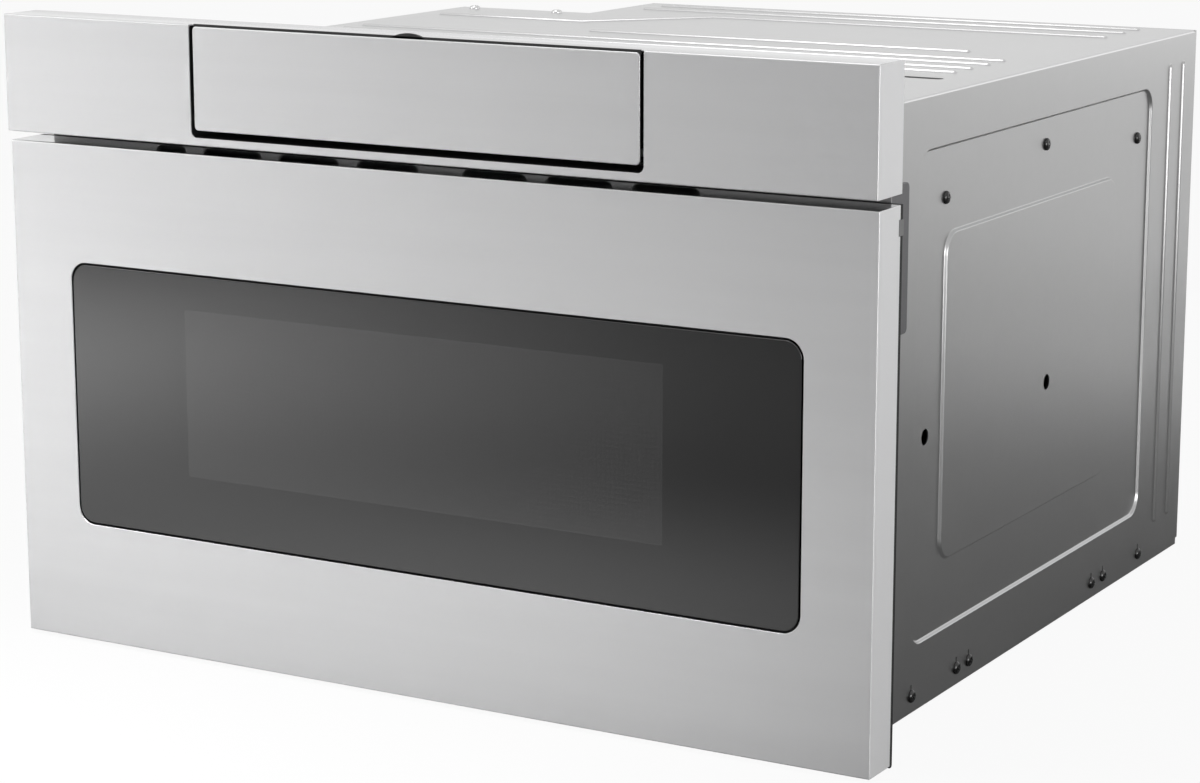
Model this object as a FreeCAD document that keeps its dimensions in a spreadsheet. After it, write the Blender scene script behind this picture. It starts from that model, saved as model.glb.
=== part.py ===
import FreeCAD
import Part
import math
import os
from types import SimpleNamespace

import Sketcher
from FreeCAD import Placement, Rotation, Vector

# A built-in microwave drawer. Millimetres; +Z up, the front faces -Y, the origin is on the floor
# under the middle of the overall box. Every moving piece is drawn at rest: drawer shut, flap shut.

DIMENSIONS = {
    # the drawer front and the fixed fascia above it
    "overall_depth": 588.0,
    "front_width": 606.4,
    "drawer_bottom": 2.5,
    "drawer_height": 322.8,
    "drawer_setback": 2.9,
    "drawer_depth": 27.4,
    "front_gap": 5.9,
    "panel_height": 73.8,
    "panel_depth": 31.7,
    "skin": 1.2,
    "skin_round": 0.9,
    "carrier_wall": 2.5,
    "carrier_foot": 30.0,
    "carrier_foot_x": 240.0,
    # the control flap
    "flap_width": 312.0,
    "flap_side_gap": 2.3,
    "flap_sill": 4.9,
    "flap_bottom_gap": 4.4,
    "flap_top_drop": 0.8,
    "flap_sheet": 1.0,
    "flap_fold": 1.5,
    "flap_roll": 6.5,
    "flap_hem": 10.0,
    "flap_lip_depth": 4.0,
    "flap_corner": 2.5,
    "opening_corner": 4.0,
    "housing_inset": 2.0,
    "touch_run": 23.0,
    "touch_drop": 12.2,
    "touch_sheet": 2.2,
    "touch_rim": 3.0,
    "board_well": 4.0,
    "board_sheet": 1.6,
    "flap_board_inset": 14.0,
    "display_inset": 10.0,
    "display_length": 60.0,
    "tab_width": 27.0,
    "tab_rise": 2.0,
    "tab_radius": 26.0,
    "tab_sheet": 1.8,
    "flap_pin_dia": 5.0,
    "lug_wall": 4.2,
    "pin_clearance": 0.05,
    # the glass window and what lies behind it
    "glass_width": 514.6,
    "glass_height": 167.7,
    "glass_rise": 78.8,
    "glass_sheet": 4.0,
    "glass_sink": 0.3,
    "glass_gap": 1.3,
    "glass_corner": 10.5,
    "screen_width": 360.0,
    "screen_height": 128.0,
    "screen_sheet": 0.8,
    "window_width": 344.0,
    "window_height": 113.5,
    "window_centre": 172.8,
    "core_front": 3.0,
    "core_wall": 4.0,
    "liner_thickness": 4.0,
    "liner_drop": 1.5,
    "liner_inset": 0.6,
    "liner_round": 1.5,
    "bumper_height": 9.0,
    "bumper_drop": 8.3,
    "bumper_width": 5.2,
    "bumper_step": 2.0,
    # the front frame
    "frame_gap": 0.7,
    "frame_sheet": 1.2,
    "flange_width": 590.0,
    "mount_hole_dia": 5.5,
    "mount_spacing_x": 568.0,
    "mount_spacing_z": 240.0,
    "mount_low": 57.0,
    "vent_first": 37.8,
    "vent_pitch": 57.9,
    "vent_width": 45.6,
    "vent_end_width": 24.0,
    "vent_rise": 0.6,
    "vent_height": 20.0,
    "vent_corner": 5.0,
    # the chassis
    "chassis_width": 546.0,
    "chassis_bottom": 3.0,
    "chassis_height": 370.7,
    "sheet": 1.0,
    "pan_flange": 20.0,
    "rear_step": 3.0,
    "rear_lift": 4.5,
    "pad_dia": 24.0,
    "pad_spacing_x": 440.0,
    "pad_spacing_y": 440.0,
    "recess_width": 111.0,
    "recess_length": 98.0,
    "recess_height": 86.0,
    "gland_dia": 17.8,
    "gland_bore": 8.0,
    "gland_length": 14.0,
    "gland_neck_dia": 12.0,
    "gland_neck_length": 6.0,
    "gland_fit": 0.1,
    "gland_inset": 55.0,
    "gland_rise": 42.3,
    "baffle_length": 67.5,
    "baffle_low": 236.0,
    "baffle_height": 88.0,
    "baffle_sheet": 2.0,
    # the pressed shapes of the side and top sheets
    "press_depth": 2.0,
    "field_front": 85.8,
    "field_back": 80.0,
    "field_back_left": 110.0,
    "field_low": 40.5,
    "field_drop": 30.7,
    "field_corner": 12.0,
    "boss_front": 41.0,
    "boss_back": 62.0,
    "boss_low": 43.0,
    "boss_drop": 52.5,
    "boss_corner": 15.0,
    "bead_width": 6.0,
    "bead_rise": 1.5,
    "bead_low": 26.0,
    "bead_drop": 17.7,
    "bead_drop_left": 8.7,
    "bead_first_back": 47.0,
    "bead_second_back": 21.0,
    "side_hole_dia": 8.0,
    "side_hole_height": 169.4,
    "side_hole_front": 19.3,
    "side_hole_back": 163.7,
    "rib_width": 5.0,
    "rib_rise": 1.2,
    "rib_mitre": 0.45,
    "rib_inset_left": 21.0,
    "rib_inset_right": 36.0,
    "rib_1_back": 214.0,
    "rib_2_back": 239.1,
    "rib_3_back": 266.4,
    "rib_4_back": 290.8,
    "short_rib_back": 334.2,
    "short_rib_left": 90.0,
    "short_rib_right": 194.0,
    "rear_rib_1": 45.0,
    "rear_rib_2": 17.0,
    "rear_rib_inset": 20.0,
    "bent_rib_front": 391.8,
    "bent_rib_rear": 468.8,
    "bent_rib_run": 141.0,
    "bent_rib_slant": 68.0,
    "slit_back": 175.8,
    "slit_width": 3.0,
    "slit_length": 94.6,
    "slit_inset": 28.4,
    # the oven cavity and the tray
    "cavity_width": 452.0,
    "cavity_height": 190.5,
    "cavity_rise": 59.0,
    "rear_room": 119.0,
    "tray_width": 440.0,
    "tray_back_gap": 8.7,
    "tray_wall": 2.0,
    "tray_floor_sheet": 1.5,
    "tray_height": 116.5,
    "tray_lift": 1.5,
    "tray_front_height": 184.0,
    "glide_gap": 0.3,
    "glide_x": 150.0,
    "glide_width": 30.0,
    "ceramic_sheet": 5.0,
    "ceramic_gap": 0.5,
    "ceramic_corner": 6.0,
    "inner_window_sheet": 2.0,
    "inner_window_rim": 5.0,
    # microwave feed above the cavity
    "stirrer_back": 213.0,
    "dome_dia": 196.0,
    "dome_height": 30.0,
    "dome_flange": 10.0,
    "feed_rim": 3.0,
    "stirrer_cover_sheet": 1.5,
    "stirrer_dia": 160.0,
    "stirrer_lift": 12.0,
    "stirrer_sheet": 1.0,
    "stirrer_blade": 24.0,
    "stirrer_hub_dia": 16.0,
    "stirrer_hub_low": 8.0,
    "stirrer_hub_high": 20.0,
    "stirrer_shaft_short": 5.5,
    "stirrer_shaft_dia": 6.0,
    "shaft_clearance": 0.05,
    "shaft_end_gap": 1.0,
    "stirrer_motor_dia": 50.0,
    "stirrer_motor_height": 20.0,
    "guide_width": 90.0,
    "guide_height": 27.5,
    "guide_lift": 1.5,
    "guide_overlap": 11.0,
    "launch_hole_dia": 28.0,
    "guide_back": 508.0,
    "magnetron_back": 463.0,
    "magnetron_width": 90.0,
    "magnetron_length": 76.0,
    "magnetron_height": 76.0,
    "antenna_dia": 16.0,
    "antenna_gap": 7.0,
    "yoke_sheet": 2.0,
    "tube_dia": 40.0,
    "fin_inset": 6.0,
    "fin_sheet": 1.0,
    "fin_gap": 0.5,
    # electrical pieces
    "transformer_width": 100.0,
    "transformer_length": 78.0,
    "transformer_height": 84.0,
    "transformer_left": 150.0,
    "transformer_back": 14.0,
    "transformer_leg": 36.0,
    "transformer_window": 18.0,
    "coil_gap": 0.5,
    "coil_overhang": 12.0,
    "capacitor_dia": 50.0,
    "capacitor_height": 90.0,
    "capacitor_left": 215.0,
    "capacitor_back": 61.0,
    "power_board_width": 85.0,
    "power_board_length": 200.0,
    "power_board_left": 200.0,
    "power_board_front": 60.0,
    "stand_off": 8.0,
    "relay_height": 16.0,
    "lamp_height": 150.0,
    "lamp_back": 110.0,
    "lamp_box": 36.0,
    "lamp_depth": 18.0,
    "lamp_pitch": 7.0,
    "lamp_hole_dia": 4.0,
    "bulb_dia": 16.0,
    "bulb_gap": 2.0,
    # cooling fan
    "fan_left": 150.0,
    "fan_height": 301.0,
    "fan_dia": 100.0,
    "fan_gap": 2.0,
    "fan_box": 120.0,
    "fan_box_length": 40.0,
    "fan_wall": 2.0,
    "fan_wheel_length": 17.0,
    "fan_wheel_gap": 0.5,
    "fan_hub_dia": 32.0,
    "fan_chord": 24.0,
    "fan_blade_sheet": 1.5,
    "fan_pitch_angle": 35.0,
    "fan_spoke": 8.0,
    "fan_spoke_depth": 4.0,
    "fan_motor_dia": 40.0,
    "fan_motor_length": 15.0,
    "fan_shaft_dia": 5.0,
    "grille_hole_dia": 8.0,
    "grille_pitch": 14.0,
    # telescopic slides and the drawer's arms
    "slide_length": 406.0,
    "slide_outer_height": 46.0,
    "slide_low": 79.0,
    "slide_sheet": 1.5,
    "slide_gap": 0.5,
    "slide_outset": 10.0,
    "slide_depth": 12.5,
    "bracket_foot": 7.0,
    "arm_sheet": 2.0,
    "arm_low": 47.0,
    "arm_length": 425.0,
    "arm_foot": 11.5,
    "arm_foot_gap": 4.0,
    "slot_margin": 2.0,
    # the rack drive
    "gear_module": 1.5,
    "pinion_teeth": 16,
    "rack_width": 10.0,
    "rack_top": 59.0,
    "rack_pitch_rise": 49.0,
    "rack_length": 432.0,
    "backlash": 0.16,
    "pinion_back": 32.8,
    "pinion_side_gap": 0.5,
    "drive_shaft_dia": 8.0,
    "gearbox_width": 40.0,
    "gearbox_length": 44.0,
    "gearbox_height": 36.0,
    "drive_shaft_depth": 14.0,
    "motor_dia": 34.0,
    "motor_length": 60.0,
    "motor_bracket_sheet": 2.0,
    "bracket_gap": 1.0,
    # the interlocks
    "hook_centre": 240.0,
    "hook_width": 8.0,
    "hook_low": 281.0,
    "hook_height": 12.0,
    "hook_length": 37.7,
    "hook_tip": 4.0,
    "holder_wall": 3.0,
    "holder_gap": 3.0,
    "plunger_dia": 3.0,
    "plunger_pitch": 8.0,
    "plunger_length": 15.7,
    "plunger_gap": 0.3,
    "switch_depth": 12.0,
    # fasteners
    "screw_head_dia": 8.0,
    "screw_head_height": 2.2,
    "screw_shank_dia": 4.0,
    "screw_shank_length": 8.0,
    "screw_hole_dia": 4.4,
    "cover_screw_front": 9.0,
    "cover_screw_1": 16.5,
    "cover_screw_2": 88.3,
    "low_screw_rise": 10.7,
    "low_screw_1": 88.7,
    "low_screw_2": 155.5,
    "low_screw_3": 174.5,
    "low_screw_4": 381.8,
    "low_screw_5": 403.1,
    "low_screw_6": 470.4,
    "high_screw_1_back": 128.2,
    "high_screw_1_rise": 306.9,
    "high_screw_2_back": 283.3,
    "high_screw_2_rise": 320.8,
    "high_screw_3_front": 102.8,
    "high_screw_3_rise": 306.5,
    "hanger_front": 117.8,
    "hanger_back_gap": 2.0,
    "hanger_height": 81.5,
    "hanger_foot": 205.0,
}


class Size:
    """A length that carries both its value and the sheet expression that it comes from."""

    def __init__(self, value, text=None):
        self.value = float(value)
        self.text = text if text else f"({self.value:g})"

    def __add__(self, other):
        other = as_size(other)
        return Size(self.value + other.value, f"({self.text} + {other.text})")

    def __sub__(self, other):
        other = as_size(other)
        return Size(self.value - other.value, f"({self.text} - {other.text})")

    def __mul__(self, other):
        other = as_size(other)
        return Size(self.value * other.value, f"({self.text} * {other.text})")

    def __truediv__(self, other):
        other = as_size(other)
        return Size(self.value / other.value, f"({self.text} / {other.text})")

    def __neg__(self):
        return Size(0) - self

    def __radd__(self, other):
        return as_size(other) + self

    def __rsub__(self, other):
        return as_size(other) - self

    def __rmul__(self, other):
        return as_size(other) * self

    def __float__(self):
        return self.value


def as_size(number):
    return number if isinstance(number, Size) else Size(number)


doc = FreeCAD.newDocument("MicrowaveDrawer")
sheet = doc.addObject("Spreadsheet::Sheet", "Sizes")
for row, (name, number) in enumerate(DIMENSIONS.items(), start=1):
    sheet.set(f"A{row}", name)
    sheet.set(f"B{row}", str(number))
    sheet.setAlias(f"B{row}", name)
doc.recompute()
s = SimpleNamespace(**{name: Size(getattr(sheet, name), f"Sizes.{name}") for name in DIMENSIONS})

NODES = []
TOUCH = 1e-4  # how near two numbers are to count as equal when an edge is picked


def bind(thing, prop, length):
    """Tie a property to the sheet."""
    thing.setExpression(prop, as_size(length).text)


def node(thing, name):
    """Name a finished sub-part and list it for export."""
    thing.Label = name
    NODES.append((name, thing))
    return thing


def span(side, near, far):
    """The low and high x of a stretch from near to far on one side of the middle plane."""
    return (near, far) if side > 0 else (-far, -near)


# ---- sketch outlines --------------------------------------------------------------------------

def rect(low_a, high_a, low_b, high_b):
    return [(low_a, low_b), (high_a, low_b), (high_a, high_b), (low_a, high_b)]


def circle(centre_a, centre_b, radius):
    return ("circle", centre_a, centre_b, radius)


def fix_point(sketch, geometry, point, a, b):
    """Hold a point of a sketch at a place that the sheet gives."""
    for kind, length in (("DistanceX", a), ("DistanceY", b)):
        length = as_size(length)
        index = sketch.addConstraint(Sketcher.Constraint(kind, -1, 1, geometry, point, length.value))
        bind(sketch, f"Constraints[{index}]", length)


def draw_polygon(sketch, corners):
    points = [Vector(float(a), float(b), 0) for a, b in corners]
    count = len(points)
    lines = [
        sketch.addGeometry(Part.LineSegment(points[i], points[(i + 1) % count]), False)
        for i in range(count)
    ]
    for i in range(count):
        following = lines[(i + 1) % count]
        sketch.addConstraint(Sketcher.Constraint("Coincident", lines[i], 2, following, 1))
    for line, (a, b) in zip(lines, corners):
        fix_point(sketch, line, 1, a, b)


def draw_circle(sketch, a, b, radius):
    radius = as_size(radius)
    centre = Vector(float(a), float(b), 0)
    ring = sketch.addGeometry(Part.Circle(centre, Vector(0, 0, 1), radius.value), False)
    index = sketch.addConstraint(Sketcher.Constraint("Radius", ring, radius.value))
    bind(sketch, f"Constraints[{index}]", radius)
    fix_point(sketch, ring, 3, a, b)


# ---- bodies made from sketches -----------------------------------------------------------------

PLANE_NORMAL = {"XY": 1, "XZ": -1, "YZ": 1}  # which way each origin plane faces along its axis


class Piece:
    """One sub-part built up as pads and pockets, each given as a stretch along a plane's axis."""

    def __init__(self, name):
        self.body = doc.addObject("PartDesign::Body", name)
        self.name = name
        self.steps = 0

    def sketch(self, plane, at, loops):
        self.steps += 1
        drawing = self.body.newObject("Sketcher::SketchObject", f"{self.name}_sketch{self.steps}")
        origin = [p for p in self.body.Origin.OriginFeatures if p.Role == f"{plane}_Plane"][0]
        drawing.AttachmentSupport = [(origin, "")]
        drawing.MapMode = "FlatFace"
        bind(drawing, "AttachmentOffset.Base.z", as_size(at) * PLANE_NORMAL[plane])
        for loop in loops:
            if loop[0] == "circle":
                draw_circle(drawing, *loop[1:])
            else:
                draw_polygon(drawing, loop)
        return drawing

    def feature(self, kind, plane, start, end, loops, backwards):
        drawing = self.sketch(plane, start, loops)
        step = self.body.newObject(f"PartDesign::{kind}", f"{self.name}_{kind.lower()}{self.steps}")
        step.Profile = drawing
        step.Reversed = backwards
        bind(step, "Length", as_size(end) - start)
        return self

    def pad(self, plane, start, end, *loops):
        return self.feature("Pad", plane, start, end, loops, PLANE_NORMAL[plane] < 0)

    def pocket(self, plane, start, end, *loops):
        return self.feature("Pocket", plane, start, end, loops, PLANE_NORMAL[plane] > 0)

    def dress(self, kind, prop, length, picked):
        """Fillet or chamfer the edges whose two ends both pass the test."""
        doc.recompute()
        tip = self.body.Tip
        names = [
            f"Edge{i}"
            for i, edge in enumerate(tip.Shape.Edges, start=1)
            if len(edge.Vertexes) == 2 and picked(edge.Vertexes[0].Point, edge.Vertexes[1].Point)
        ]
        self.steps += 1
        step = self.body.newObject(f"PartDesign::{kind}", f"{self.name}_{kind.lower()}{self.steps}")
        step.Base = (tip, names)
        bind(step, prop, length)
        return self

    def fillet(self, radius, picked):
        return self.dress("Fillet", "Radius", radius, picked)

    def done(self):
        return node(self.body, self.name)


def near(number, target):
    return abs(number - float(target)) < TOUCH


def along(axis, *places):
    """A test for edges that run along an axis through one of the given cross-section places."""
    others = [i for i in range(3) if i != axis]

    def test(first, second):
        parallel = all(near(first[i], second[i]) for i in others)
        return parallel and any(
            all(near(first[i], place[k]) for k, i in enumerate(others)) for place in places
        )

    return test


def corners_of(low_a, high_a, low_b, high_b):
    return [(a, b) for a in (low_a, high_a) for b in (low_b, high_b)]


# ---- simple solids and booleans ----------------------------------------------------------------

def block(name, x, y, z):
    """A box between three pairs of places."""
    box = doc.addObject("Part::Box", name)
    for prop, axis, (low, high) in (("Length", "x", x), ("Width", "y", y), ("Height", "z", z)):
        bind(box, prop, as_size(high) - low)
        bind(box, f"Placement.Base.{axis}", low)
    return box


AXIS_TURN = {
    "x": Rotation(Vector(0, 1, 0), 90),
    "y": Rotation(Vector(1, 0, 0), -90),
    "z": Rotation(),
}


def rod(name, axis, x, y, z, diameter):
    """A round bar along an axis; the pair among x, y and z is its start and end."""
    bar = doc.addObject("Part::Cylinder", name)
    start, end = {"x": x, "y": y, "z": z}[axis]
    bar.Placement = Placement(Vector(), AXIS_TURN[axis])
    for letter, place in (("x", x), ("y", y), ("z", z)):
        bind(bar, f"Placement.Base.{letter}", start if letter == axis else place)
    bind(bar, "Radius", as_size(diameter) / 2)
    bind(bar, "Height", as_size(end) - start)
    return bar


def fuse(name, *things):
    whole = doc.addObject("Part::MultiFuse", name)
    whole.Shapes = list(things)
    return whole


def group(name, *things):
    whole = doc.addObject("Part::Compound", name)
    whole.Links = list(things)
    return whole


def cut(name, base, *tools):
    whole = doc.addObject("Part::Cut", name)
    whole.Base = base
    whole.Tool = tools[0] if len(tools) == 1 else fuse(f"{name}_tools", *tools)
    return whole


def overlap(name, first, second):
    whole = doc.addObject("Part::Common", name)
    whole.Base = first
    whole.Tool = second
    return whole


# ---- places worked out from the sizes ------------------------------------------------------------

front = -s.overall_depth / 2
rear = s.overall_depth / 2
half_front = s.front_width / 2
drawer_top = s.drawer_bottom + s.drawer_height
panel_bottom = drawer_top + s.front_gap
panel_top = panel_bottom + s.panel_height
panel_back = front + s.panel_depth
skin_front = front + s.drawer_setback
skin_back = skin_front + s.drawer_depth
liner_back = skin_back + s.liner_thickness
frame_front = liner_back + s.frame_gap
frame_back = frame_front + s.frame_sheet

half_chassis = s.chassis_width / 2
side_inner = half_chassis - s.sheet
chassis_top = s.chassis_bottom + s.chassis_height
cover_bottom = chassis_top - s.sheet
pan_top = s.chassis_bottom + s.sheet
side_rear = rear - s.rear_step
recess_side = -half_chassis + s.recess_width
recess_front = side_rear + s.rear_step - s.recess_length
recess_floor = chassis_top - s.recess_height

cavity_half = s.cavity_width / 2
cavity_floor = s.chassis_bottom + s.cavity_rise
cavity_ceiling = cavity_floor + s.cavity_height
cavity_top = cavity_ceiling + s.sheet
cavity_rear = side_rear - s.rear_room

tray_half = s.tray_width / 2
tray_bottom = cavity_floor + s.tray_lift
tray_floor = tray_bottom + s.tray_floor_sheet
tray_front = liner_back + s.tray_wall
tray_rear = cavity_rear - s.tray_back_gap - s.tray_wall
window_half = s.window_width / 2
window_low = s.window_centre - s.window_height / 2
window_high = s.window_centre + s.window_height / 2


# ---- the fixed fascia and its control flap -------------------------------------------------------

opening_half = s.flap_width / 2 + s.flap_side_gap
opening_low = panel_bottom + s.flap_sill
flap_bottom = opening_low + s.flap_bottom_gap
flap_top = panel_top - s.flap_top_drop
hinge_y = front + s.flap_roll
hinge_z = flap_bottom + s.flap_roll
housing_half = s.flap_width / 2 - s.housing_inset


def make_top_panel():
    """Folded stainless fascia, open at the back, with a notch for the flap out of its top edge."""
    left = -half_front
    piece = Piece("top_panel")
    piece.pad("XZ", front, panel_back, rect(left, half_front, panel_bottom, panel_top))
    inside = rect(left + s.skin, half_front - s.skin, panel_bottom + s.skin, panel_top - s.skin)
    piece.pocket("XZ", front + s.skin, panel_back, inside)
    opening = rect(-opening_half, opening_half, opening_low, panel_top)
    piece.pocket("XZ", front, front + s.flap_lip_depth, opening)
    piece.fillet(s.opening_corner, along(1, (-opening_half, opening_low), (opening_half, opening_low)))

    def on_front_rim(first, second):
        if not (near(first.y, front) and near(second.y, front)):
            return False
        if any(near(first.x, x) and near(second.x, x) for x in (left, half_front)):
            return True
        return any(near(first.z, z) and near(second.z, z) for z in (panel_bottom, panel_top))

    piece.fillet(s.skin_round, on_front_rim)
    piece.done()


def make_panel_carrier():
    """Moulding that fills the fascia: a well for the flap, hinge lugs and feet on the front frame."""
    half = half_front - s.skin
    low = panel_bottom + s.skin
    high = panel_top - s.skin
    face = front + s.skin
    floor = panel_back - s.carrier_wall
    lug_inner = opening_half + s.pin_clearance
    lug_outer = lug_inner + s.lug_wall
    piece = Piece("panel_carrier")
    piece.pad("XZ", face, panel_back, rect(-half, half, low, high))
    piece.pocket("XZ", face, floor, rect(-lug_inner, lug_inner, opening_low, high))
    for side in (-1, 1):
        x_low, x_high = span(side, lug_outer, half - s.carrier_wall)
        bay = rect(x_low, x_high, low + s.carrier_wall, high - s.carrier_wall)
        piece.pocket("XZ", face, floor, bay)
    pin_hole = circle(hinge_y, hinge_z, s.flap_pin_dia / 2 + s.pin_clearance)
    piece.pocket("YZ", -lug_outer, lug_outer, pin_hole)
    foot_low = low + s.carrier_wall
    feet = [
        rect(x - s.carrier_foot / 2, x + s.carrier_foot / 2, foot_low, foot_low + s.carrier_foot)
        for x in (-s.carrier_foot_x, s.carrier_foot_x)
    ]
    piece.pad("XZ", panel_back, frame_front, *feet)
    piece.done()


def make_flap():
    """The flip-down flap: rolled steel face, wedge housing, touch glass, display, board, pins, tab."""
    half = s.flap_width / 2
    face_back = front + s.flap_sheet
    fold_z = flap_top - s.flap_sheet
    hem_back = front + s.flap_hem
    hem_top = flap_bottom + s.flap_sheet
    profile = [
        (front, flap_bottom),
        (hem_back, flap_bottom),
        (hem_back, hem_top),
        (face_back, hem_top),
        (face_back, fold_z),
        (front + s.flap_fold, fold_z),
        (front + s.flap_fold, flap_top),
        (front, flap_top),
    ]
    face = Piece("flap_face")
    face.pad("YZ", -half, half, profile)
    face.fillet(s.flap_roll, along(0, (front, flap_bottom)))
    face.fillet(s.flap_roll - s.flap_sheet, along(0, (face_back, hem_top)))
    face.fillet(s.flap_corner, along(1, (-half, flap_top), (half, flap_top)))
    face.done()

    top_front = front + s.flap_fold + s.flap_sheet * 2
    top_back = top_front + s.touch_run
    low_line = fold_z - s.touch_drop
    wedge = [
        (face_back, hinge_z),
        (face_back, fold_z),
        (top_front, fold_z),
        (top_front, fold_z - s.touch_sheet),
        (top_back, low_line - s.touch_sheet),
        (top_back, hinge_z + s.flap_roll),
        (hem_back + s.touch_rim, hem_top),
        (hinge_y, hem_top),
    ]
    board_front = top_front + s.touch_rim
    board_back = top_back - s.touch_rim
    slope = s.touch_drop / s.touch_run

    def under_glass(depth_low, depth_high):
        """A strip parallel to the touch glass, between two depths under its lower face."""
        front_line = fold_z - s.touch_sheet - s.touch_rim * slope
        back_line = fold_z - s.touch_sheet - (s.touch_run - s.touch_rim) * slope
        return [
            (board_front, front_line - depth_low),
            (board_front, front_line - depth_high),
            (board_back, back_line - depth_high),
            (board_back, back_line - depth_low),
        ]

    board_half = housing_half - s.flap_board_inset
    housing = Piece("flap_housing")
    housing.pad("YZ", -housing_half, housing_half, wedge)
    housing.pocket("YZ", -board_half, board_half, under_glass(0, s.board_well))
    housing.done()

    glass_loop = [
        (top_front, fold_z - s.touch_sheet),
        (top_front, fold_z),
        (top_back, low_line),
        (top_back, low_line - s.touch_sheet),
    ]
    Piece("touch_glass").pad("YZ", -housing_half, housing_half, glass_loop).done()
    board_top = s.board_well - s.board_sheet
    board_loop = under_glass(board_top, s.board_well)
    Piece("flap_board").pad("YZ", -board_half, board_half, board_loop).done()
    display_loop = under_glass(0, board_top)
    display_x = s.display_inset - board_half
    Piece("display_module").pad("YZ", display_x, display_x + s.display_length, display_loop).done()

    pins = [
        rod(
            f"flap_pin_{label}",
            "x",
            span(side, housing_half, opening_half + s.lug_wall),
            hinge_y,
            hinge_z,
            s.flap_pin_dia,
        )
        for side, label in ((-1, "left"), (1, "right"))
    ]
    node(group("flap_pins", *pins), "flap_pins")

    tab_top = panel_top + s.tab_rise
    tab_back = top_front
    tab_y = (tab_back - s.tab_sheet, tab_back)
    disc = rod("pull_tab_disc", "y", 0, tab_y, tab_top - s.tab_radius, s.tab_radius * 2)
    tab_half = s.tab_width / 2
    window = block("pull_tab_block", (-tab_half, tab_half), tab_y, (fold_z, tab_top))
    node(overlap("pull_tab", disc, window), "pull_tab")


# ---- the drawer front ----------------------------------------------------------------------------

glass_half = s.glass_width / 2
glass_low = s.drawer_bottom + s.glass_rise
glass_high = glass_low + s.glass_height
glass_front = skin_front + s.glass_sink
glass_back = glass_front + s.glass_sheet


def make_drawer_front():
    """Folded stainless skin of the drawer front, open at the back, with the hole for the glass."""
    piece = Piece("drawer_front")
    piece.pad("XZ", skin_front, skin_back, rect(-half_front, half_front, s.drawer_bottom, drawer_top))
    inner = half_front - s.skin
    inside = rect(-inner, inner, s.drawer_bottom + s.skin, drawer_top - s.skin)
    piece.pocket("XZ", skin_front + s.skin, skin_back, inside)
    hole = (
        -glass_half - s.glass_gap,
        glass_half + s.glass_gap,
        glass_low - s.glass_gap,
        glass_high + s.glass_gap,
    )
    piece.pocket("XZ", skin_front, skin_front + s.skin, rect(*hole))
    for side in (-1, 1):
        x_low, x_high = span(side, half_front - s.skin, half_front)
        notch = rect(x_low, x_high, bumper_low, bumper_high)
        piece.pocket("XZ", skin_back - s.bumper_step, skin_back, notch)
    piece.fillet(s.glass_corner + s.glass_gap, along(1, *corners_of(*hole)))

    def on_front_rim(first, second):
        if not (near(first.y, skin_front) and near(second.y, skin_front)):
            return False
        if any(near(first.x, x) and near(second.x, x) for x in (-half_front, half_front)):
            return True
        return any(near(first.z, z) and near(second.z, z) for z in (s.drawer_bottom, drawer_top))

    piece.fillet(s.skin_round, on_front_rim)
    piece.done()


def make_drawer_glass():
    """Flush window glass with round corners."""
    outline = (-glass_half, glass_half, glass_low, glass_high)
    piece = Piece("drawer_glass")
    piece.pad("XZ", glass_front, glass_back, rect(*outline))
    piece.fillet(s.glass_corner, along(1, *corners_of(*outline)))
    piece.done()


screen_half = s.screen_width / 2
screen_low = s.window_centre - s.screen_height / 2
screen_high = s.window_centre + s.screen_height / 2


def make_door_core():
    """Moulding between skin and liner that seats the glass and the shield, hollow at the back."""
    inner = half_front - s.skin
    low = s.drawer_bottom + s.skin
    high = drawer_top - s.skin
    wall = s.core_wall
    piece = Piece("door_core")
    piece.pad("XZ", skin_front + s.skin, skin_back, rect(-inner, inner, low, high))
    seat = rect(
        -glass_half - s.glass_gap,
        glass_half + s.glass_gap,
        glass_low - s.glass_gap,
        glass_high + s.glass_gap,
    )
    piece.pocket("XZ", skin_front + s.skin, glass_back, seat)
    shield = rect(-screen_half, screen_half, screen_low, screen_high)
    piece.pocket("XZ", glass_back, glass_back + s.screen_sheet, shield)
    window = rect(-window_half, window_half, window_low, window_high)
    piece.pocket("XZ", glass_back, skin_back, window)
    bay = rect(-inner + wall, inner - wall, low + wall, high - wall)
    collar = rect(
        -window_half - wall, window_half + wall, window_low - wall, window_high + wall
    )
    piece.pocket("XZ", glass_back + s.core_front, skin_back, bay, collar)
    piece.done()


def make_window_screen():
    """Steel shield plate behind the glass."""
    screen = rect(-screen_half, screen_half, screen_low, screen_high)
    Piece("window_screen").pad("XZ", glass_back, glass_back + s.screen_sheet, screen).done()


liner_half = half_front - s.liner_inset
liner_low = s.drawer_bottom - s.liner_drop
bumper_high = drawer_top - s.bumper_drop
bumper_low = bumper_high - s.bumper_height
bumper_inner = half_front - s.bumper_width


def make_door_liner():
    """Black plate that closes the back of the drawer front and carries tray and arms."""
    piece = Piece("door_liner")
    window = rect(-window_half, window_half, window_low, window_high)
    outline = rect(-liner_half, liner_half, liner_low, drawer_top)
    piece.pad("XZ", skin_back, liner_back, outline, window)
    for side in (-1, 1):
        x_low, x_high = span(side, bumper_inner, half_front)
        piece.pocket("XZ", skin_back, liner_back, rect(x_low, x_high, bumper_low, bumper_high))
    piece.fillet(s.liner_round, along(0, (skin_back, liner_low), (liner_back, liner_low)))
    piece.done()


def make_bumpers():
    """Two grey end blocks let into the liner's ends, each with a step into the skin's end wall."""
    blocks = []
    for side, label in ((-1, "left"), (1, "right")):
        z = (bumper_low, bumper_high)
        pad = block(f"bumper_pad_{label}", span(side, bumper_inner, half_front), (skin_back, liner_back), z)
        step_x = span(side, half_front - s.skin, half_front)
        step = block(f"bumper_step_{label}", step_x, (skin_back - s.bumper_step, skin_back), z)
        blocks.append(fuse(f"bumper_{label}", pad, step))
    node(group("bumpers", *blocks), "bumpers")


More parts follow.
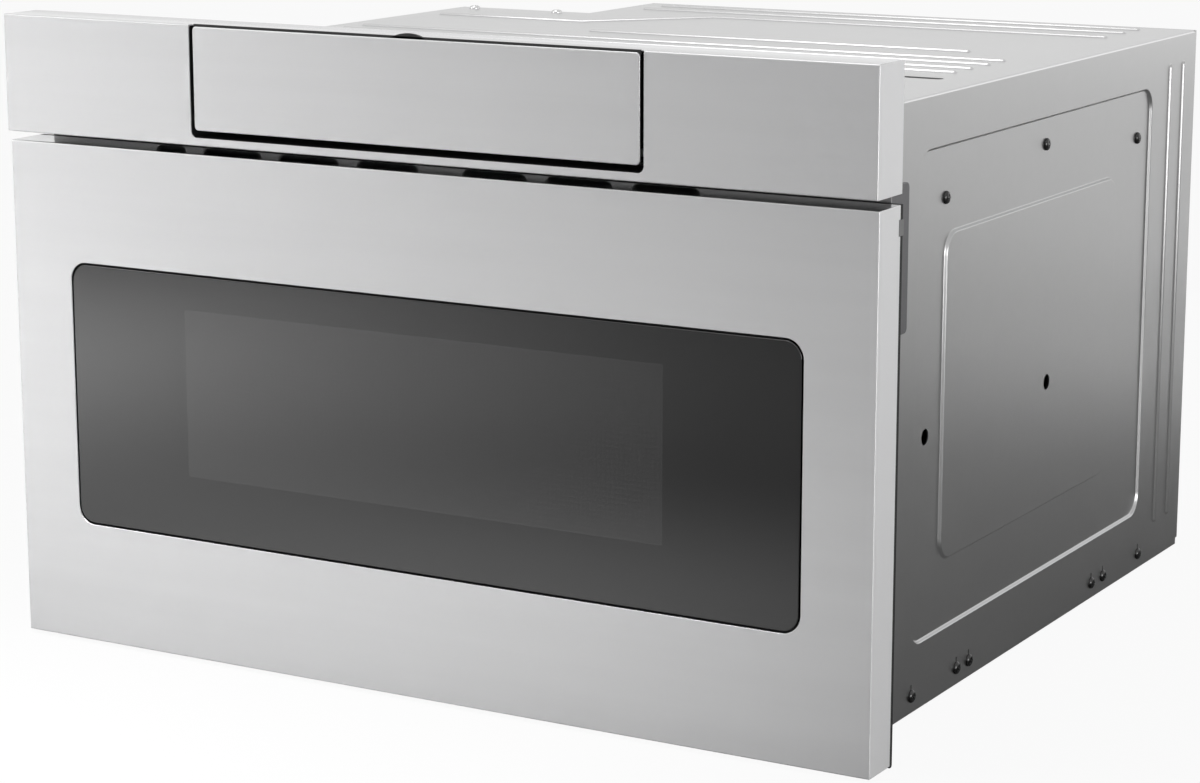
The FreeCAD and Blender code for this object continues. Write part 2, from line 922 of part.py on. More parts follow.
# ---- front frame and chassis sheets ---------------------------------------------------------------

slide_low = s.chassis_bottom + s.slide_low
slide_high = slide_low + s.slide_outer_height
outer_web_x = side_inner - s.slide_outset
arm_x = outer_web_x - s.slide_depth - s.slide_sheet
rack_x = arm_x - s.arm_sheet
rack_inner_x = rack_x - s.rack_width
arm_bottom = s.chassis_bottom + s.arm_low
slot_inner_x = rack_inner_x - s.slot_margin
hook_low = s.chassis_bottom + s.hook_low
hook_high = hook_low + s.hook_height
vent_low = drawer_top + s.vent_rise
vent_high = vent_low + s.vent_height


def make_front_frame():
    """Front sheet: drawer opening, slots for slides and hooks, vents, and flanges with screw holes."""
    half = s.flange_width / 2
    loops = [
        rect(-half, half, s.chassis_bottom, chassis_top),
        rect(-cavity_half, cavity_half, cavity_floor, cavity_ceiling),
    ]
    vents = []
    for side in (-1, 1):
        slot_x = span(side, slot_inner_x, outer_web_x)
        loops.append(rect(*slot_x, arm_bottom - s.slot_margin, slide_high + s.slot_margin))
        hook_x = span(
            side,
            s.hook_centre - s.hook_width / 2 - s.slot_margin,
            s.hook_centre + s.hook_width / 2 + s.slot_margin,
        )
        loops.append(rect(*hook_x, hook_low - s.hook_tip - s.slot_margin, hook_high + s.slot_margin))
        for i in range(3):
            centre = s.vent_first + s.vent_pitch * i
            vents.append(span(side, centre - s.vent_width / 2, centre + s.vent_width / 2))
        for row in (0, 1):
            hole_z = s.chassis_bottom + s.mount_low + s.mount_spacing_z * row
            loops.append(circle(s.mount_spacing_x / 2 * side, hole_z, s.mount_hole_dia / 2))
    end_x = -s.vent_first - s.vent_pitch * 3 + s.vent_width / 2
    vents.append((end_x - s.vent_end_width, end_x))
    loops += [rect(*x, vent_low, vent_high) for x in vents]
    piece = Piece("front_frame")
    piece.pad("XZ", frame_front, frame_back, *loops)
    ends = [(x, z) for pair in vents for x in pair for z in (vent_low, vent_high)]
    piece.fillet(s.vent_corner, along(1, *ends))
    piece.done()


def make_base_pan():
    """Folded bottom tray with upturned side and rear flanges."""
    piece = Piece("base_pan")
    flange_top = pan_top + s.pan_flange
    piece.pad("XY", s.chassis_bottom, flange_top, rect(-side_inner, side_inner, frame_back, side_rear))
    inside = rect(-side_inner + s.sheet, side_inner - s.sheet, frame_back, side_rear - s.sheet)
    piece.pocket("XY", pan_top, flange_top, inside)
    holes = [circle(y, low_screw_z, s.screw_hole_dia / 2) for y in low_screw_y]
    piece.pocket("YZ", -side_inner, side_inner, *holes)
    piece.done()


def make_base_pads():
    """Four round pads under the base pan."""
    pads = []
    for x, x_label in ((-s.pad_spacing_x / 2, "left"), (s.pad_spacing_x / 2, "right")):
        for y, y_label in ((-s.pad_spacing_y / 2, "front"), (s.pad_spacing_y / 2, "rear")):
            pads.append(rod(f"pad_{y_label}_{x_label}", "z", x, y, (0, s.chassis_bottom), s.pad_dia))
    node(group("base_pads", *pads), "base_pads")


field_y = frame_back + s.field_front
field_low = s.chassis_bottom + s.field_low
field_high = cover_bottom - s.field_drop


def make_side_panel(side, label, field_back, bead_top):
    """Side sheet: a sunk field with a raised boss inside it, two upright beads at the rear."""
    press = s.press_depth
    wall = s.sheet
    field = (field_y, side_rear - field_back, field_low, field_high)
    boss = (
        field[0] + s.boss_front,
        field[1] - s.boss_back,
        field[2] + s.boss_low,
        field[3] - s.boss_drop,
    )
    outer = (field[0] - wall, field[1] + wall, field[2] - wall, field[3] + wall)
    inner = (boss[0] + wall, boss[1] - wall, boss[2] + wall, boss[3] - wall)
    outline = rect(frame_back, side_rear, s.chassis_bottom, cover_bottom)
    if side < 0:
        outline = [
            (frame_back, s.chassis_bottom),
            (side_rear, s.chassis_bottom),
            (side_rear, recess_floor),
            (recess_front, recess_floor),
            (recess_front, cover_bottom),
            (frame_back, cover_bottom),
        ]
    piece = Piece(f"side_panel_{label}")
    piece.pad("YZ", *span(side, side_inner, half_chassis), outline)
    piece.pad("YZ", *span(side, side_inner - press, side_inner), rect(*outer), rect(*inner))
    piece.pocket("YZ", *span(side, half_chassis - press, half_chassis), rect(*field), rect(*boss))
    for back in (s.bead_first_back, s.bead_second_back):
        middle = side_rear - back
        half = s.bead_width / 2
        bead = rect(middle - half, middle + half, s.chassis_bottom + s.bead_low, bead_top)
        piece.pad("YZ", *span(side, half_chassis, half_chassis + s.bead_rise), bead)
    holes = [
        circle(field[0] + s.side_hole_front, s.side_hole_height, s.side_hole_dia / 2),
        circle(boss[0] + s.side_hole_back, s.side_hole_height, s.side_hole_dia / 2),
    ]
    holes += [circle(y, z, s.screw_hole_dia / 2) for _, y, z in side_screws(side)]
    piece.pocket("YZ", *span(side, side_inner - press, half_chassis), *holes)
    piece.fillet(s.field_corner, along(0, *corners_of(*field)))
    piece.fillet(s.boss_corner, along(0, *corners_of(*boss)))
    piece.fillet(s.field_corner + wall, along(0, *corners_of(*outer)))
    piece.fillet(s.boss_corner - wall, along(0, *corners_of(*inner)))
    piece.done()


def make_top_cover():
    """Top sheet with a rear-left cut-out, raised ribs, a slit and screw holes."""
    left = -half_chassis
    rib_half = s.rib_width / 2
    mitre = rib_half * s.rib_mitre
    piece = Piece("top_cover")
    outline = [
        (left, frame_back),
        (half_chassis, frame_back),
        (half_chassis, side_rear),
        (recess_side, side_rear),
        (recess_side, recess_front),
        (left, recess_front),
    ]
    slit_y = frame_back + s.slit_back
    slit_right = half_chassis - s.slit_inset
    slit = rect(slit_right - s.slit_length, slit_right, slit_y, slit_y + s.slit_width)
    holes = [circle(x, cover_screw_y, s.screw_hole_dia / 2) for x in cover_screw_x]
    piece.pad("XY", cover_bottom, chassis_top, outline, slit, *holes)
    rib_left = left + s.rib_inset_left
    rib_right = half_chassis - s.rib_inset_right
    for back in (s.rib_1_back, s.rib_2_back, s.rib_3_back, s.rib_4_back):
        middle = frame_back + back
        rib = rect(rib_left, rib_right, middle - rib_half, middle + rib_half)
        piece.pad("XY", chassis_top, chassis_top + s.rib_rise, rib)
    middle = frame_back + s.short_rib_back
    short = rect(-s.short_rib_left, s.short_rib_right, middle - rib_half, middle + rib_half)
    piece.pad("XY", chassis_top, chassis_top + s.rib_rise, short)
    rear_ribs = [
        rect(
            recess_side + s.rear_rib_inset,
            rib_right,
            side_rear - back - rib_half,
            side_rear - back + rib_half,
        )
        for back in (s.rear_rib_1, s.rear_rib_2)
    ]
    piece.pad("XY", chassis_top, chassis_top + s.rib_rise, *rear_ribs)
    low_y = frame_back + s.bent_rib_front
    high_y = frame_back + s.bent_rib_rear
    bend_1 = left + s.bent_rib_run
    bend_2 = bend_1 + s.bent_rib_slant
    bent = [
        (rib_left, low_y - rib_half),
        (bend_1 + mitre, low_y - rib_half),
        (bend_2 + mitre, high_y - rib_half),
        (rib_right, high_y - rib_half),
        (rib_right, high_y + rib_half),
        (bend_2 - mitre, high_y + rib_half),
        (bend_1 - mitre, low_y + rib_half),
        (rib_left, low_y + rib_half),
    ]
    piece.pad("XY", chassis_top, chassis_top + s.rib_rise, bent)
    piece.done()


fan_x = s.fan_left
fan_z = s.fan_height
fan_back = rear - s.sheet
fan_front = fan_back - s.fan_box_length


def make_rear_panel():
    """Shallow rear pan with a folded rim and a round grille of holes in front of the fan."""
    left = -half_chassis
    low = s.chassis_bottom + s.rear_lift
    rim = s.sheet

    def outline(inset):
        return [
            (left + inset, low + inset),
            (half_chassis - inset, low + inset),
            (half_chassis - inset, chassis_top - inset),
            (recess_side + inset, chassis_top - inset),
            (recess_side + inset, recess_floor - inset),
            (left + inset, recess_floor - inset),
        ]

    reach = s.fan_dia.value / 2
    steps = int(reach // s.grille_pitch.value)
    grille = []
    for row in range(-steps, steps + 1):
        for column in range(-steps, steps + 1):
            if math.hypot(row, column) * s.grille_pitch.value > reach - s.grille_hole_dia.value / 2:
                continue
            x = fan_x + s.grille_pitch * column
            grille.append(circle(x, fan_z + s.grille_pitch * row, s.grille_hole_dia / 2))
    piece = Piece("rear_panel")
    piece.pad("XZ", side_rear, rear, outline(as_size(0)), *grille)
    piece.pocket("XZ", side_rear, rear - rim, outline(rim))
    piece.done()


gland_x = recess_side - s.gland_inset
gland_z = recess_floor + s.gland_rise
gland_end = recess_front + s.gland_length


def make_cord_recess():
    """Three folded walls that line the rear-left cut-out, with the hole for the cord gland."""
    wall = s.sheet
    left = -side_inner
    right = recess_side + wall
    face = recess_front - wall
    piece = Piece("cord_recess")
    piece.pad("XY", recess_floor - wall, recess_floor, rect(left, right, face, side_rear))
    corner = [
        (left, face),
        (right, face),
        (right, side_rear),
        (recess_side, side_rear),
        (recess_side, recess_front),
        (left, recess_front),
    ]
    piece.pad("XY", recess_floor, cover_bottom, corner)
    neck_hole = circle(gland_x, gland_z, s.gland_neck_dia / 2 + s.gland_fit)
    piece.pocket("XZ", face, recess_front, neck_hole)
    piece.done()


def make_cord_gland():
    """Moulded gland on the recess wall; its through bore takes the supply cord."""
    bore = circle(gland_x, gland_z, s.gland_bore / 2)
    piece = Piece("cord_gland")
    piece.pad("XZ", recess_front, gland_end, circle(gland_x, gland_z, s.gland_dia / 2), bore)
    neck = circle(gland_x, gland_z, s.gland_neck_dia / 2)
    piece.pad("XZ", recess_front - s.gland_neck_length, recess_front, neck, bore)
    piece.done()


def make_side_baffles():
    """Two dark plates on the outside of the side sheets, close behind the front flange."""
    plates = []
    low = s.chassis_bottom + s.baffle_low
    for side, label in ((-1, "left"), (1, "right")):
        x = span(side, half_chassis, half_chassis + s.baffle_sheet)
        y = (frame_back, frame_back + s.baffle_length)
        plates.append(block(f"baffle_{label}", x, y, (low, low + s.baffle_height)))
    node(group("side_baffles", *plates), "side_baffles")


# ---- screws in the chassis -------------------------------------------------------------------------

cover_screw_y = recess_front - s.cover_screw_front
cover_screw_x = [-half_chassis + s.cover_screw_1, -half_chassis + s.cover_screw_2]
low_screw_z = s.chassis_bottom + s.low_screw_rise
low_screw_y = [
    frame_back + back
    for back in (
        s.low_screw_1,
        s.low_screw_2,
        s.low_screw_3,
        s.low_screw_4,
        s.low_screw_5,
        s.low_screw_6,
    )
]
high_screws = [
    (frame_back + s.high_screw_1_back, s.chassis_bottom + s.high_screw_1_rise),
    (frame_back + s.high_screw_2_back, s.chassis_bottom + s.high_screw_2_rise),
    (side_rear - s.high_screw_3_front, s.chassis_bottom + s.high_screw_3_rise),
]


def side_screws(side):
    """The (outer face, y, z) of every screw in one side sheet; the left sheet lacks the third."""
    upper = high_screws if side > 0 else high_screws[:2]
    places = [(half_chassis, y, low_screw_z) for y in low_screw_y]
    return places + [(half_chassis - s.press_depth, y, z) for y, z in upper]


def make_chassis_screws():
    """Identical pan-head screws through the side sheets and the top sheet."""
    screws = []

    def screw(axis, x, y, z, head, shank):
        label = f"screw_{len(screws) + 1}"
        parts = []
        stretches = [("head", head, s.screw_head_dia), ("shank", shank, s.screw_shank_dia)]
        for part, stretch, diameter in stretches:
            place = {"x": x, "y": y, "z": z}
            place[axis] = stretch
            parts.append(rod(f"{label}_{part}", axis, *place.values(), diameter))
        screws.append(fuse(label, *parts))

    for side in (-1, 1):
        for face, y, z in side_screws(side):
            head = span(side, face, face + s.screw_head_height)
            shank = span(side, face - s.screw_shank_length, face)
            screw("x", None, y, z, head, shank)
    for x in cover_screw_x:
        head = (chassis_top, chassis_top + s.screw_head_height)
        screw("z", x, cover_screw_y, None, head, (chassis_top - s.screw_shank_length, chassis_top))
    node(group("chassis_screws", *screws), "chassis_screws")


def make_cavity_hangers():
    """Two angle sheets that hang the oven cavity between the side sheets."""
    outer = side_inner - s.press_depth
    front_end = frame_back + s.hanger_front
    rear_end = recess_front - s.hanger_back_gap
    hangers = []
    for side, label in ((-1, "left"), (1, "right")):
        foot_x = span(side, s.hanger_foot, outer)
        foot = block(f"hanger_foot_{label}", foot_x, (front_end, rear_end), (cavity_top, hanger_floor))
        wall_x = span(side, outer - s.sheet, outer)
        wall_z = (hanger_floor, cavity_top + s.hanger_height)
        wall = block(f"hanger_wall_{label}", wall_x, (front_end, rear_end), wall_z)
        holes = [
            rod(f"hanger_hole_{label}_{i}", "x", wall_x, y, z, s.screw_hole_dia)
            for i, (y, z) in enumerate(high_screws if side > 0 else high_screws[:2], start=1)
        ]
        hangers.append(cut(f"hanger_{label}", fuse(f"hanger_sheet_{label}", foot, wall), *holes))
    node(group("cavity_hangers", *hangers), "cavity_hangers")


# ---- oven cavity and microwave feed -------------------------------------------------------------------

hanger_floor = cavity_top + s.sheet
stirrer_y = frame_back + s.stirrer_back
dome_top = cavity_top + s.dome_height
guide_low = cavity_top + s.guide_lift
guide_high = guide_low + s.guide_height
guide_end = frame_back + s.guide_back
guide_half = s.guide_width / 2
magnetron_y = frame_back + s.magnetron_back
lamp_y = cavity_rear - s.lamp_back
lamp_z = s.chassis_bottom + s.lamp_height


def make_oven_cavity():
    """Welded sheet box open at the front, with the feed hole in its roof and lamp holes in one side."""
    wall = s.sheet
    outer = (-cavity_half - wall, cavity_half + wall)
    length = (frame_back, cavity_rear + wall)
    height = (cavity_floor, cavity_ceiling)
    floor = block("cavity_floor_sheet", outer, length, (cavity_floor - wall, cavity_floor))
    roof = block("cavity_roof_sheet", outer, length, (cavity_ceiling, cavity_top))
    feed_dia = s.dome_dia - s.feed_rim * 2
    feed = rod("feed_hole", "z", 0, stirrer_y, (cavity_ceiling, cavity_top), feed_dia)
    back = block("cavity_back_sheet", outer, (cavity_rear, cavity_rear + wall), height)
    side_length = (frame_back, cavity_rear)
    left_side, right_side = [
        block(f"cavity_side_{label}", span(side, cavity_half, cavity_half + wall), side_length, height)
        for side, label in ((-1, "left"), (1, "right"))
    ]
    lamp_holes = [
        rod(
            f"lamp_hole_{i + 2}_{j + 2}",
            "x",
            (cavity_half, cavity_half + wall),
            lamp_y + s.lamp_pitch * i,
            lamp_z + s.lamp_pitch * j,
            s.lamp_hole_dia,
        )
        for i in (-1, 0, 1)
        for j in (-1, 0, 1)
    ]
    sheets = [
        floor,
        cut("cavity_roof", roof, feed),
        back,
        left_side,
        cut("cavity_side_with_lamp_holes", right_side, *lamp_holes),
    ]
    node(group("oven_cavity", *sheets), "oven_cavity")


def make_stirrer_dome():
    """Round sheet dome over the feed hole, open on its rear side for the waveguide."""
    wall = s.sheet
    radius = s.dome_dia / 2
    piece = Piece("stirrer_dome")
    piece.pad("XY", cavity_top, cavity_top + wall, circle(0, stirrer_y, radius + s.dome_flange))
    piece.pad("XY", cavity_top + wall, dome_top, circle(0, stirrer_y, radius))
    piece.pocket("XY", cavity_top, dome_top - wall, circle(0, stirrer_y, radius - wall))
    shaft_hole = circle(0, stirrer_y, s.stirrer_shaft_dia / 2 + s.shaft_clearance)
    piece.pocket("XY", dome_top - wall, dome_top, shaft_hole)
    mouth = rect(-guide_half, guide_half, guide_low, guide_high)
    piece.pocket("XZ", stirrer_y + guide_half, stirrer_y + radius + wall, mouth)
    piece.done()


def make_stirrer_cover():
    """Thin round cover that hides the stirrer from the cavity."""
    z = (cavity_ceiling - s.stirrer_cover_sheet, cavity_ceiling)
    diameter = s.dome_dia + s.dome_flange
    node(rod("stirrer_cover", "z", 0, stirrer_y, z, diameter), "stirrer_cover")


def make_stirrer():
    """Four-bladed stirrer on its shaft."""
    blade_z = (cavity_top + s.stirrer_lift, cavity_top + s.stirrer_lift + s.stirrer_sheet)
    reach = s.stirrer_dia / 2
    half = s.stirrer_blade / 2
    hub_z = (cavity_top + s.stirrer_hub_low, cavity_top + s.stirrer_hub_high)
    shaft_z = (hub_z[1], dome_top + s.stirrer_motor_height - s.stirrer_shaft_short)
    parts = [
        block("stirrer_blade_1", (-reach, reach), (stirrer_y - half, stirrer_y + half), blade_z),
        block("stirrer_blade_2", (-half, half), (stirrer_y - reach, stirrer_y + reach), blade_z),
        rod("stirrer_hub", "z", 0, stirrer_y, hub_z, s.stirrer_hub_dia),
        rod("stirrer_shaft", "z", 0, stirrer_y, shaft_z, s.stirrer_shaft_dia),
    ]
    node(fuse("stirrer", *parts), "stirrer")


def make_stirrer_motor():
    """Flat motor on top of the dome with a blind bore for the stirrer shaft."""
    motor_z = (dome_top, dome_top + s.stirrer_motor_height)
    bore_z = (dome_top, motor_z[1] - s.stirrer_shaft_short + s.shaft_end_gap)
    can = rod("stirrer_can", "z", 0, stirrer_y, motor_z, s.stirrer_motor_dia)
    bore = rod("stirrer_bore", "z", 0, stirrer_y, bore_z, s.stirrer_shaft_dia + s.shaft_clearance * 2)
    node(cut("stirrer_motor", can, bore), "stirrer_motor")


def make_waveguide():
    """Rectangular duct from the magnetron to the dome."""
    wall = s.sheet
    start = stirrer_y + s.dome_dia / 2 - s.guide_overlap
    piece = Piece("waveguide")
    piece.pad("XZ", start, guide_end, rect(-guide_half, guide_half, guide_low, guide_high))
    inside = rect(-guide_half + wall, guide_half - wall, guide_low + wall, guide_high - wall)
    piece.pocket("XZ", start, guide_end - wall, inside)
    launch = circle(0, magnetron_y, s.launch_hole_dia / 2)
    piece.pocket("XY", guide_high - wall, guide_high, launch)
    piece.done()


def make_magnetron():
    """Magnetron between two yoke plates with its antenna in the waveguide and a stack of fins."""
    half_x = s.magnetron_width / 2
    half_y = s.magnetron_length / 2
    x = (-half_x, half_x)
    y = (magnetron_y - half_y, magnetron_y + half_y)
    low = guide_high
    high = low + s.magnetron_height
    parts = [
        block("yoke_low", x, y, (low, low + s.yoke_sheet)),
        block("yoke_high", x, y, (high - s.yoke_sheet, high)),
        rod("tube", "z", 0, magnetron_y, (low, high), s.tube_dia),
        rod("antenna", "z", 0, magnetron_y, (guide_low + s.antenna_gap, low), s.antenna_dia),
    ]
    solids = [fuse("magnetron_tube", *parts)]
    fin_x = (-half_x + s.fin_inset, half_x - s.fin_inset)
    for i in range(1, 6):
        z = low + (high - low) / 6 * i
        plate = block(f"fin_plate_{i}", fin_x, y, (z, z + s.fin_sheet))
        hole = rod(f"fin_hole_{i}", "z", 0, magnetron_y, (z, z + s.fin_sheet), s.tube_dia + s.fin_gap * 2)
        solids.append(cut(f"fin_{i}", plate, hole))
    node(group("magnetron", *solids), "magnetron")


def make_transformer():
    """Laminated core with two windows and the coil round its middle leg."""
    x_low = -s.transformer_left
    x_high = x_low + s.transformer_width
    middle = (x_low + x_high) / 2
    y_high = side_rear - s.transformer_back
    y_low = y_high - s.transformer_length
    z_low = pan_top
    z_high = z_low + s.transformer_height
    leg = s.transformer_leg / 2
    window = leg + s.transformer_window
    yoke = s.transformer_leg / 2
    core = Piece("transformer_core")
    windows = [
        rect(middle + leg, middle + window, z_low + yoke, z_high - yoke),
        rect(middle - window, middle - leg, z_low + yoke, z_high - yoke),
    ]
    core.pad("XZ", y_low, y_high, rect(x_low, x_high, z_low, z_high), *windows)
    core.done()
    gap = s.coil_gap
    out = s.coil_overhang
    coil = Piece("transformer_coil")
    coil.pad(
        "XY",
        z_low + yoke + gap,
        z_high - yoke - gap,
        rect(middle - window + gap, middle + window - gap, y_low - out, y_high + out),
        rect(middle - leg - gap, middle + leg + gap, y_low - gap, y_high + gap),
    )
    coil.done()


def make_electrics():
    """Capacitor, power board on its pillars, and the lamp beside the cavity."""
    capacitor_y = side_rear - s.capacitor_back
    capacitor_z = (pan_top, pan_top + s.capacitor_height)
    capacitor = rod("capacitor", "z", -s.capacitor_left, capacitor_y, capacitor_z, s.capacitor_dia)
    node(capacitor, "capacitor")

    x = (-s.power_board_left, -s.power_board_left + s.power_board_width)
    y = (frame_back + s.power_board_front, frame_back + s.power_board_front + s.power_board_length)
    z = cavity_top + s.stand_off
    board = block("board_plate", x, y, (z, z + s.board_sheet))
    pillars = []
    for i, px in enumerate((x[0] + s.stand_off, x[1] - s.stand_off)):
        for j, py in enumerate((y[0] + s.stand_off, y[1] - s.stand_off)):
            pillars.append(rod(f"pillar_{i}_{j}", "z", px, py, (cavity_top, z), s.stand_off))
    relay_x = (x[0] + s.stand_off * 2, x[0] + s.stand_off * 5)
    relay_y = (y[0] + s.stand_off * 3, y[0] + s.stand_off * 6)
    relay_z = (z + s.board_sheet, z + s.board_sheet + s.relay_height)
    relay = block("relay", relay_x, relay_y, relay_z)
    node(group("power_board", board, *pillars, relay), "power_board")

    half = s.lamp_box / 2
    face = cavity_half + s.sheet
    wall = s.fan_wall
    lamp_x = (face, face + s.lamp_depth)
    shell = block("lamp_shell", lamp_x, (lamp_y - half, lamp_y + half), (lamp_z - half, lamp_z + half))
    room = block(
        "lamp_room",
        (face, face + s.lamp_depth - wall),
        (lamp_y - half + wall, lamp_y + half - wall),
        (lamp_z - half + wall, lamp_z + half - wall),
    )
    bulb_x = (face + s.bulb_gap, face + s.lamp_depth - wall)
    bulb = rod("bulb", "x", bulb_x, lamp_y, lamp_z, s.bulb_dia)
    node(group("cavity_lamp", cut("lamp_holder", shell, room), bulb), "cavity_lamp")


def make_fan_frame():
    """Square fan frame with a round throat and a cross that carries the motor."""
    half = s.fan_box / 2
    throat = s.fan_dia / 2 + s.fan_gap
    spoke = s.fan_spoke / 2
    frame = rect(fan_x - half, fan_x + half, fan_z - half, fan_z + half)
    piece = Piece("fan_shroud")
    piece.pad("XZ", fan_front, fan_back, frame, circle(fan_x, fan_z, throat))
    cross_back = fan_front + s.fan_spoke_depth
    piece.pad("XZ", fan_front, cross_back, rect(fan_x - half, fan_x + half, fan_z - spoke, fan_z + spoke))
    piece.pad("XZ", fan_front, cross_back, rect(fan_x - spoke, fan_x + spoke, fan_z - half, fan_z + half))
    piece.done()


def make_fan_motor():
    """Small round motor on the cross, bored for the fan shaft."""
    start = fan_front + s.fan_spoke_depth
    end = start + s.fan_motor_length
    can = rod("fan_can", "y", fan_x, (start, end), fan_z, s.fan_motor_dia)
    bore_y = (start + s.shaft_end_gap, end)
    bore = rod("fan_bore", "y", fan_x, bore_y, fan_z, s.fan_shaft_dia + s.shaft_clearance * 2)
    node(cut("fan_motor", can, bore), "fan_motor")


def make_fan_wheel():
    """Axial wheel: hub, pitched blades and the shaft in the motor."""
    length = s.fan_wheel_length.value
    radius = s.fan_dia.value / 2
    hub = s.fan_hub_dia.value / 2
    chord = s.fan_chord.value
    thick = s.fan_blade_sheet.value
    along_y = Vector(0, 1, 0)
    shape = Part.makeCylinder(hub, length, Vector(), along_y)
    for i in range(7):
        blade = Part.makeBox(chord, thick, radius, Vector(-chord / 2, -thick / 2, 0))
        blade.rotate(Vector(), Vector(0, 0, 1), s.fan_pitch_angle.value)
        blade.translate(Vector(0, length / 2, 0))
        blade.rotate(Vector(), along_y, 360 / 7 * i)
        shape = shape.fuse(blade)
    shape = shape.common(Part.makeCylinder(radius, length, Vector(), along_y))
    shaft = s.fan_motor_length.value - s.shaft_end_gap.value
    shape = shape.fuse(Part.makeCylinder(s.fan_shaft_dia.value / 2, shaft, Vector(0, -shaft, 0), along_y))
    wheel = doc.addObject("Part::Feature", "fan_wheel")
    wheel.Shape = shape
    start = fan_front + s.fan_spoke_depth + s.fan_motor_length + s.fan_wheel_gap
    wheel.Placement = Placement(Vector(fan_x.value, start.value, fan_z.value), Rotation())
    node(wheel, "fan_wheel")


# ---- telescopic slides and drawer arms -------------------------------------------------------------------

rail_front = frame_back + s.slide_sheet
rail_back = rail_front + s.slide_length


def channel(name, side, web_x, mouth_x, low, high):
    """A C-shaped rail lying along Y: its web at web_x, its open mouth at mouth_x."""
    thick = s.slide_sheet
    step = thick if float(mouth_x) > float(web_x) else -thick
    corners = [
        (web_x, low),
        (mouth_x, low),
        (mouth_x, low + thick),
        (web_x + step, low + thick),
        (web_x + step, high - thick),
        (mouth_x, high - thick),
        (mouth_x, high),
        (web_x, high),
    ]
    piece = Piece(name)
    piece.pad("XZ", rail_front, rail_back, [(x * side, z) for x, z in corners])
    return piece


def make_slides():
    """Three-part slides on both sides: fixed outer rail, middle rail, inner rail on the drawer arm."""
    thick = s.slide_sheet
    gap = s.slide_gap
    mid_web = outer_web_x - thick - gap
    mid_mouth = outer_web_x - s.slide_depth + thick
    step = thick + gap
    inner_mouth = mid_web - thick - gap
    outers = []
    inners = []
    for side, label in ((-1, "left"), (1, "right")):
        outer = channel(
            f"rail_outer_{label}", side, outer_web_x, outer_web_x - s.slide_depth, slide_low, slide_high
        )
        outers.append(outer.body)
        low = slide_low + step
        high = slide_high - step
        channel(f"rail_mid_{label}", side, mid_web, mid_mouth, low, high).done()
        inner = channel(f"rail_inner_{label}", side, arm_x, inner_mouth, low + step, high - step)
        inners.append(inner.body)
    node(group("rail_outers", *outers), "rail_outers")
    node(group("rail_inners", *inners), "rail_inners")


def make_rail_brackets():
    """Angle brackets that stand on the base pan and carry the outer rails."""
    brackets = []
    wall_outer = outer_web_x + s.slide_sheet
    for side, label in ((-1, "left"), (1, "right")):
        corners = [
            (outer_web_x, pan_top),
            (wall_outer + s.bracket_foot, pan_top),
            (wall_outer + s.bracket_foot, pan_top + s.slide_sheet),
            (wall_outer, pan_top + s.slide_sheet),
            (wall_outer, slide_high + s.slot_margin),
            (outer_web_x, slide_high + s.slot_margin),
        ]
        piece = Piece(f"rail_bracket_{label}")
        piece.pad("XZ", frame_back, rail_back, [(x * side, z) for x, z in corners])
        brackets.append(piece.body)
    node(group("rail_brackets", *brackets), "rail_brackets")


def make_drawer_arms():
    """Long arms from the liner back beside the oven cavity; each carries an inner rail."""
    arms = []
    arm_top = slide_high - (s.slide_sheet + s.slide_gap) * 2
    foot_low = s.chassis_bottom + s.rack_top + s.arm_foot_gap
    for side, label in ((-1, "left"), (1, "right")):
        wall = block(
            f"arm_wall_{label}",
            span(side, rack_x, arm_x),
            (liner_back, liner_back + s.arm_length),
            (arm_bottom, arm_top),
        )
        foot = block(
            f"arm_foot_{label}",
            span(side, rack_x - s.arm_foot, rack_x),
            (liner_back, liner_back + s.arm_sheet),
            (foot_low, arm_top),
        )
        arms.append(fuse(f"arm_{label}", wall, foot))
    node(group("drawer_arms", *arms), "drawer_arms")


# ---- rack drive ----------------------------------------------------------------------------------------

rack_pitch_z = s.chassis_bottom + s.rack_pitch_rise
pinion_radius = s.gear_module * s.pinion_teeth / 2
pinion_y = frame_back + s.pinion_back
pinion_z = rack_pitch_z - pinion_radius
pinion_x_low = rack_inner_x + s.pinion_side_gap
pinion_x_high = rack_x - s.pinion_side_gap
bracket_x_high = rack_inner_x - s.bracket_gap
bracket_x_low = bracket_x_high - s.motor_bracket_sheet
PRESSURE_ANGLE = math.radians(20)
TOOTH_ABOVE = 0.92  # tooth height above and below the pitch line, in modules
TOOTH_BELOW = 1.25


def make_drawer_rack():
    """Straight rack under the right arm, teeth down, one tooth centred over the pinion."""
    module = s.gear_module.value
    pitch = math.pi * module
    half = (pitch / 2 - s.backlash.value / 2) / 2
    tip = -TOOTH_ABOVE * module
    root = TOOTH_BELOW * module
    slope = math.tan(PRESSURE_ANGLE)
    half_tip = half + tip * slope
    half_root = half + root * slope
    start = (liner_back - pinion_y).value
    end = start + s.rack_length.value
    top = (s.chassis_bottom + s.rack_top - rack_pitch_z).value
    points = [(start, top), (start, root)]
    first = math.ceil((start + half_root) / pitch)
    last = math.floor((end - half_root) / pitch)
    for i in range(first, last + 1):
        middle = i * pitch
        points.append((middle - half_root, root))
        points.append((middle - half_tip, tip))
        points.append((middle + half_tip, tip))
        points.append((middle + half_root, root))
    points += [(end, root), (end, top), (start, top)]
    wire = Part.makePolygon([Vector(0, y, z) for y, z in points])
    rack = doc.addObject("Part::Feature", "drawer_rack")
    rack.Shape = Part.Face(wire).extrude(Vector(s.rack_width.value, 0, 0))
    corner = Vector(rack_inner_x.value, pinion_y.value, rack_pitch_z.value)
    rack.Placement = Placement(corner, Rotation())
    node(rack, "drawer_rack")


